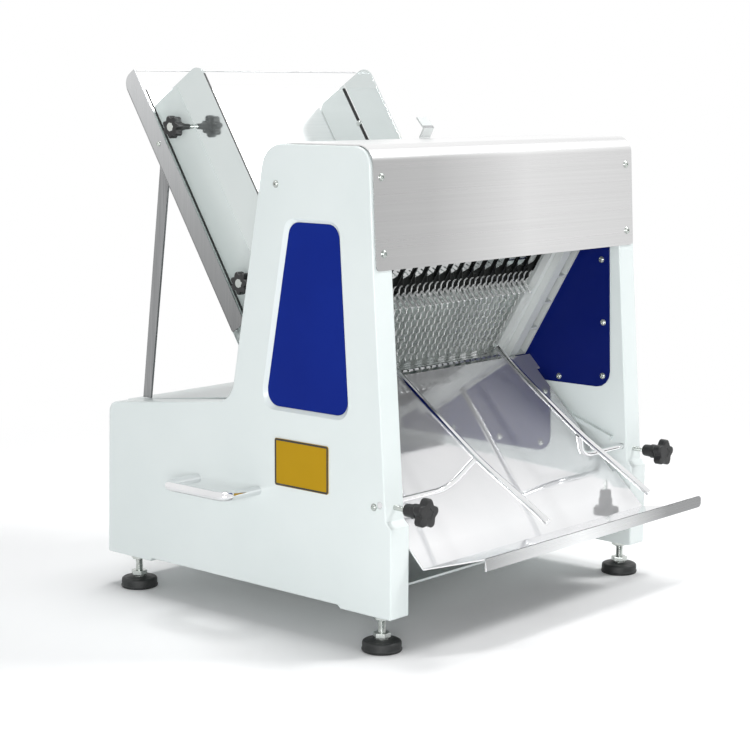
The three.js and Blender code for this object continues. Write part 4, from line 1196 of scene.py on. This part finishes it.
def world():
    """A soft studio light that is seen as plain white."""
    made = bpy.data.worlds.new("studio")
    bpy.context.scene.world = made
    made.use_nodes = True
    tree = made.node_tree
    tree.nodes.clear()
    lit = add_node(tree, "ShaderNodeBackground", {
        "Color": (0.96, 0.98, 1.0, 1.0), "Strength": WORLD_STRENGTH,
    })
    seen = add_node(tree, "ShaderNodeBackground", {"Color": (1.0, 1.0, 1.0, 1.0), "Strength": 1.0})
    mix = add_node(tree, "ShaderNodeMixShader")
    out = add_node(tree, "ShaderNodeOutputWorld")
    tree.links.new(light_paths(tree), mix.inputs["Fac"])
    tree.links.new(lit.outputs[0], mix.inputs[1])
    tree.links.new(seen.outputs[0], mix.inputs[2])
    tree.links.new(mix.outputs[0], out.inputs["Surface"])


def floor():
    """A pale floor that takes the shadow and fades to white further out."""
    mesh = bpy.data.meshes.new("studio_floor")
    corners = [(x * FLOOR_HALF, y * FLOOR_HALF, 0) for x, y in ((-1, -1), (1, -1), (1, 1), (-1, 1))]
    mesh.from_pydata(corners, [], [(0, 1, 2, 3)])
    plane = bpy.data.objects.new("studio_floor", mesh)
    bpy.context.scene.collection.objects.link(plane)
    material = bpy.data.materials.new("studio_floor")
    material.use_nodes = True
    tree = material.node_tree
    shader = tree.nodes["Principled BSDF"]
    shader.inputs["Base Color"].default_value = (0.93, 0.93, 0.93, 1.0)
    shader.inputs["Roughness"].default_value = 0.9
    shader.inputs["Specular IOR Level"].default_value = 0.0
    glow = add_node(tree, "ShaderNodeEmission", {"Color": (1.0, 1.0, 1.0, 1.0)})
    coords = add_node(tree, "ShaderNodeTexCoord")
    length = add_node(tree, "ShaderNodeVectorMath", operation="LENGTH")
    far = add_node(tree, "ShaderNodeMapRange", {"From Min": FADE[0], "From Max": FADE[1]},
                   interpolation_type="SMOOTHSTEP")
    both = add_node(tree, "ShaderNodeMath", operation="MULTIPLY")
    mix = add_node(tree, "ShaderNodeMixShader")
    tree.links.new(coords.outputs["Object"], length.inputs[0])
    tree.links.new(length.outputs["Value"], far.inputs["Value"])
    tree.links.new(far.outputs["Result"], both.inputs[0])
    tree.links.new(light_paths(tree), both.inputs[1])
    tree.links.new(both.outputs[0], mix.inputs["Fac"])
    tree.links.new(shader.outputs[0], mix.inputs[1])
    tree.links.new(glow.outputs[0], mix.inputs[2])
    tree.links.new(mix.outputs[0], tree.nodes["Material Output"].inputs["Surface"])
    mesh.materials.append(material)


def lamp(name, place, target, size, power):
    """A rectangular lamp at the place that shines on the target."""
    light = bpy.data.lights.new(name, "AREA")
    light.shape = "RECTANGLE"
    light.size, light.size_y = size
    light.energy = power
    made = bpy.data.objects.new(name, light)
    bpy.context.scene.collection.objects.link(made)
    made.location = place
    made.rotation_euler = (Vector(target) - Vector(place)).to_track_quat("-Z", "Y").to_euler()


# Camera, fitted to the photograph

LENS = 90.326
SENSOR = 36.0
CAMERA_PLACE = (-1909.5, -1437.3, 634.8)
YAW = 0.84219
PITCH_DOWN = 0.15293
ROLL = math.radians(0.14)


def camera():
    data = bpy.data.cameras.new("camera")
    data.sensor_fit = "HORIZONTAL"
    data.sensor_width = SENSOR
    data.lens = LENS
    data.clip_end = 200.0
    made = bpy.data.objects.new("camera", data)
    bpy.context.scene.collection.objects.link(made)
    ahead = Vector((
        math.sin(YAW) * math.cos(PITCH_DOWN), math.cos(YAW) * math.cos(PITCH_DOWN), -math.sin(PITCH_DOWN),
    ))
    right = Vector((math.cos(YAW), -math.sin(YAW), 0.0))
    up = right.cross(ahead)
    turned_right = right * math.cos(ROLL) + up * math.sin(ROLL)
    turned_up = turned_right.cross(ahead)
    rotation = Matrix((turned_right, turned_up, -ahead)).transposed().to_4x4()
    made.matrix_world = Matrix.Translation(at(*CAMERA_PLACE)) @ rotation
    bpy.context.scene.camera = made


world()
floor()
for name, values in LAMPS.items():
    lamp(name, *values)
camera()

scene = bpy.context.scene
scene.view_settings.view_transform = "Standard"
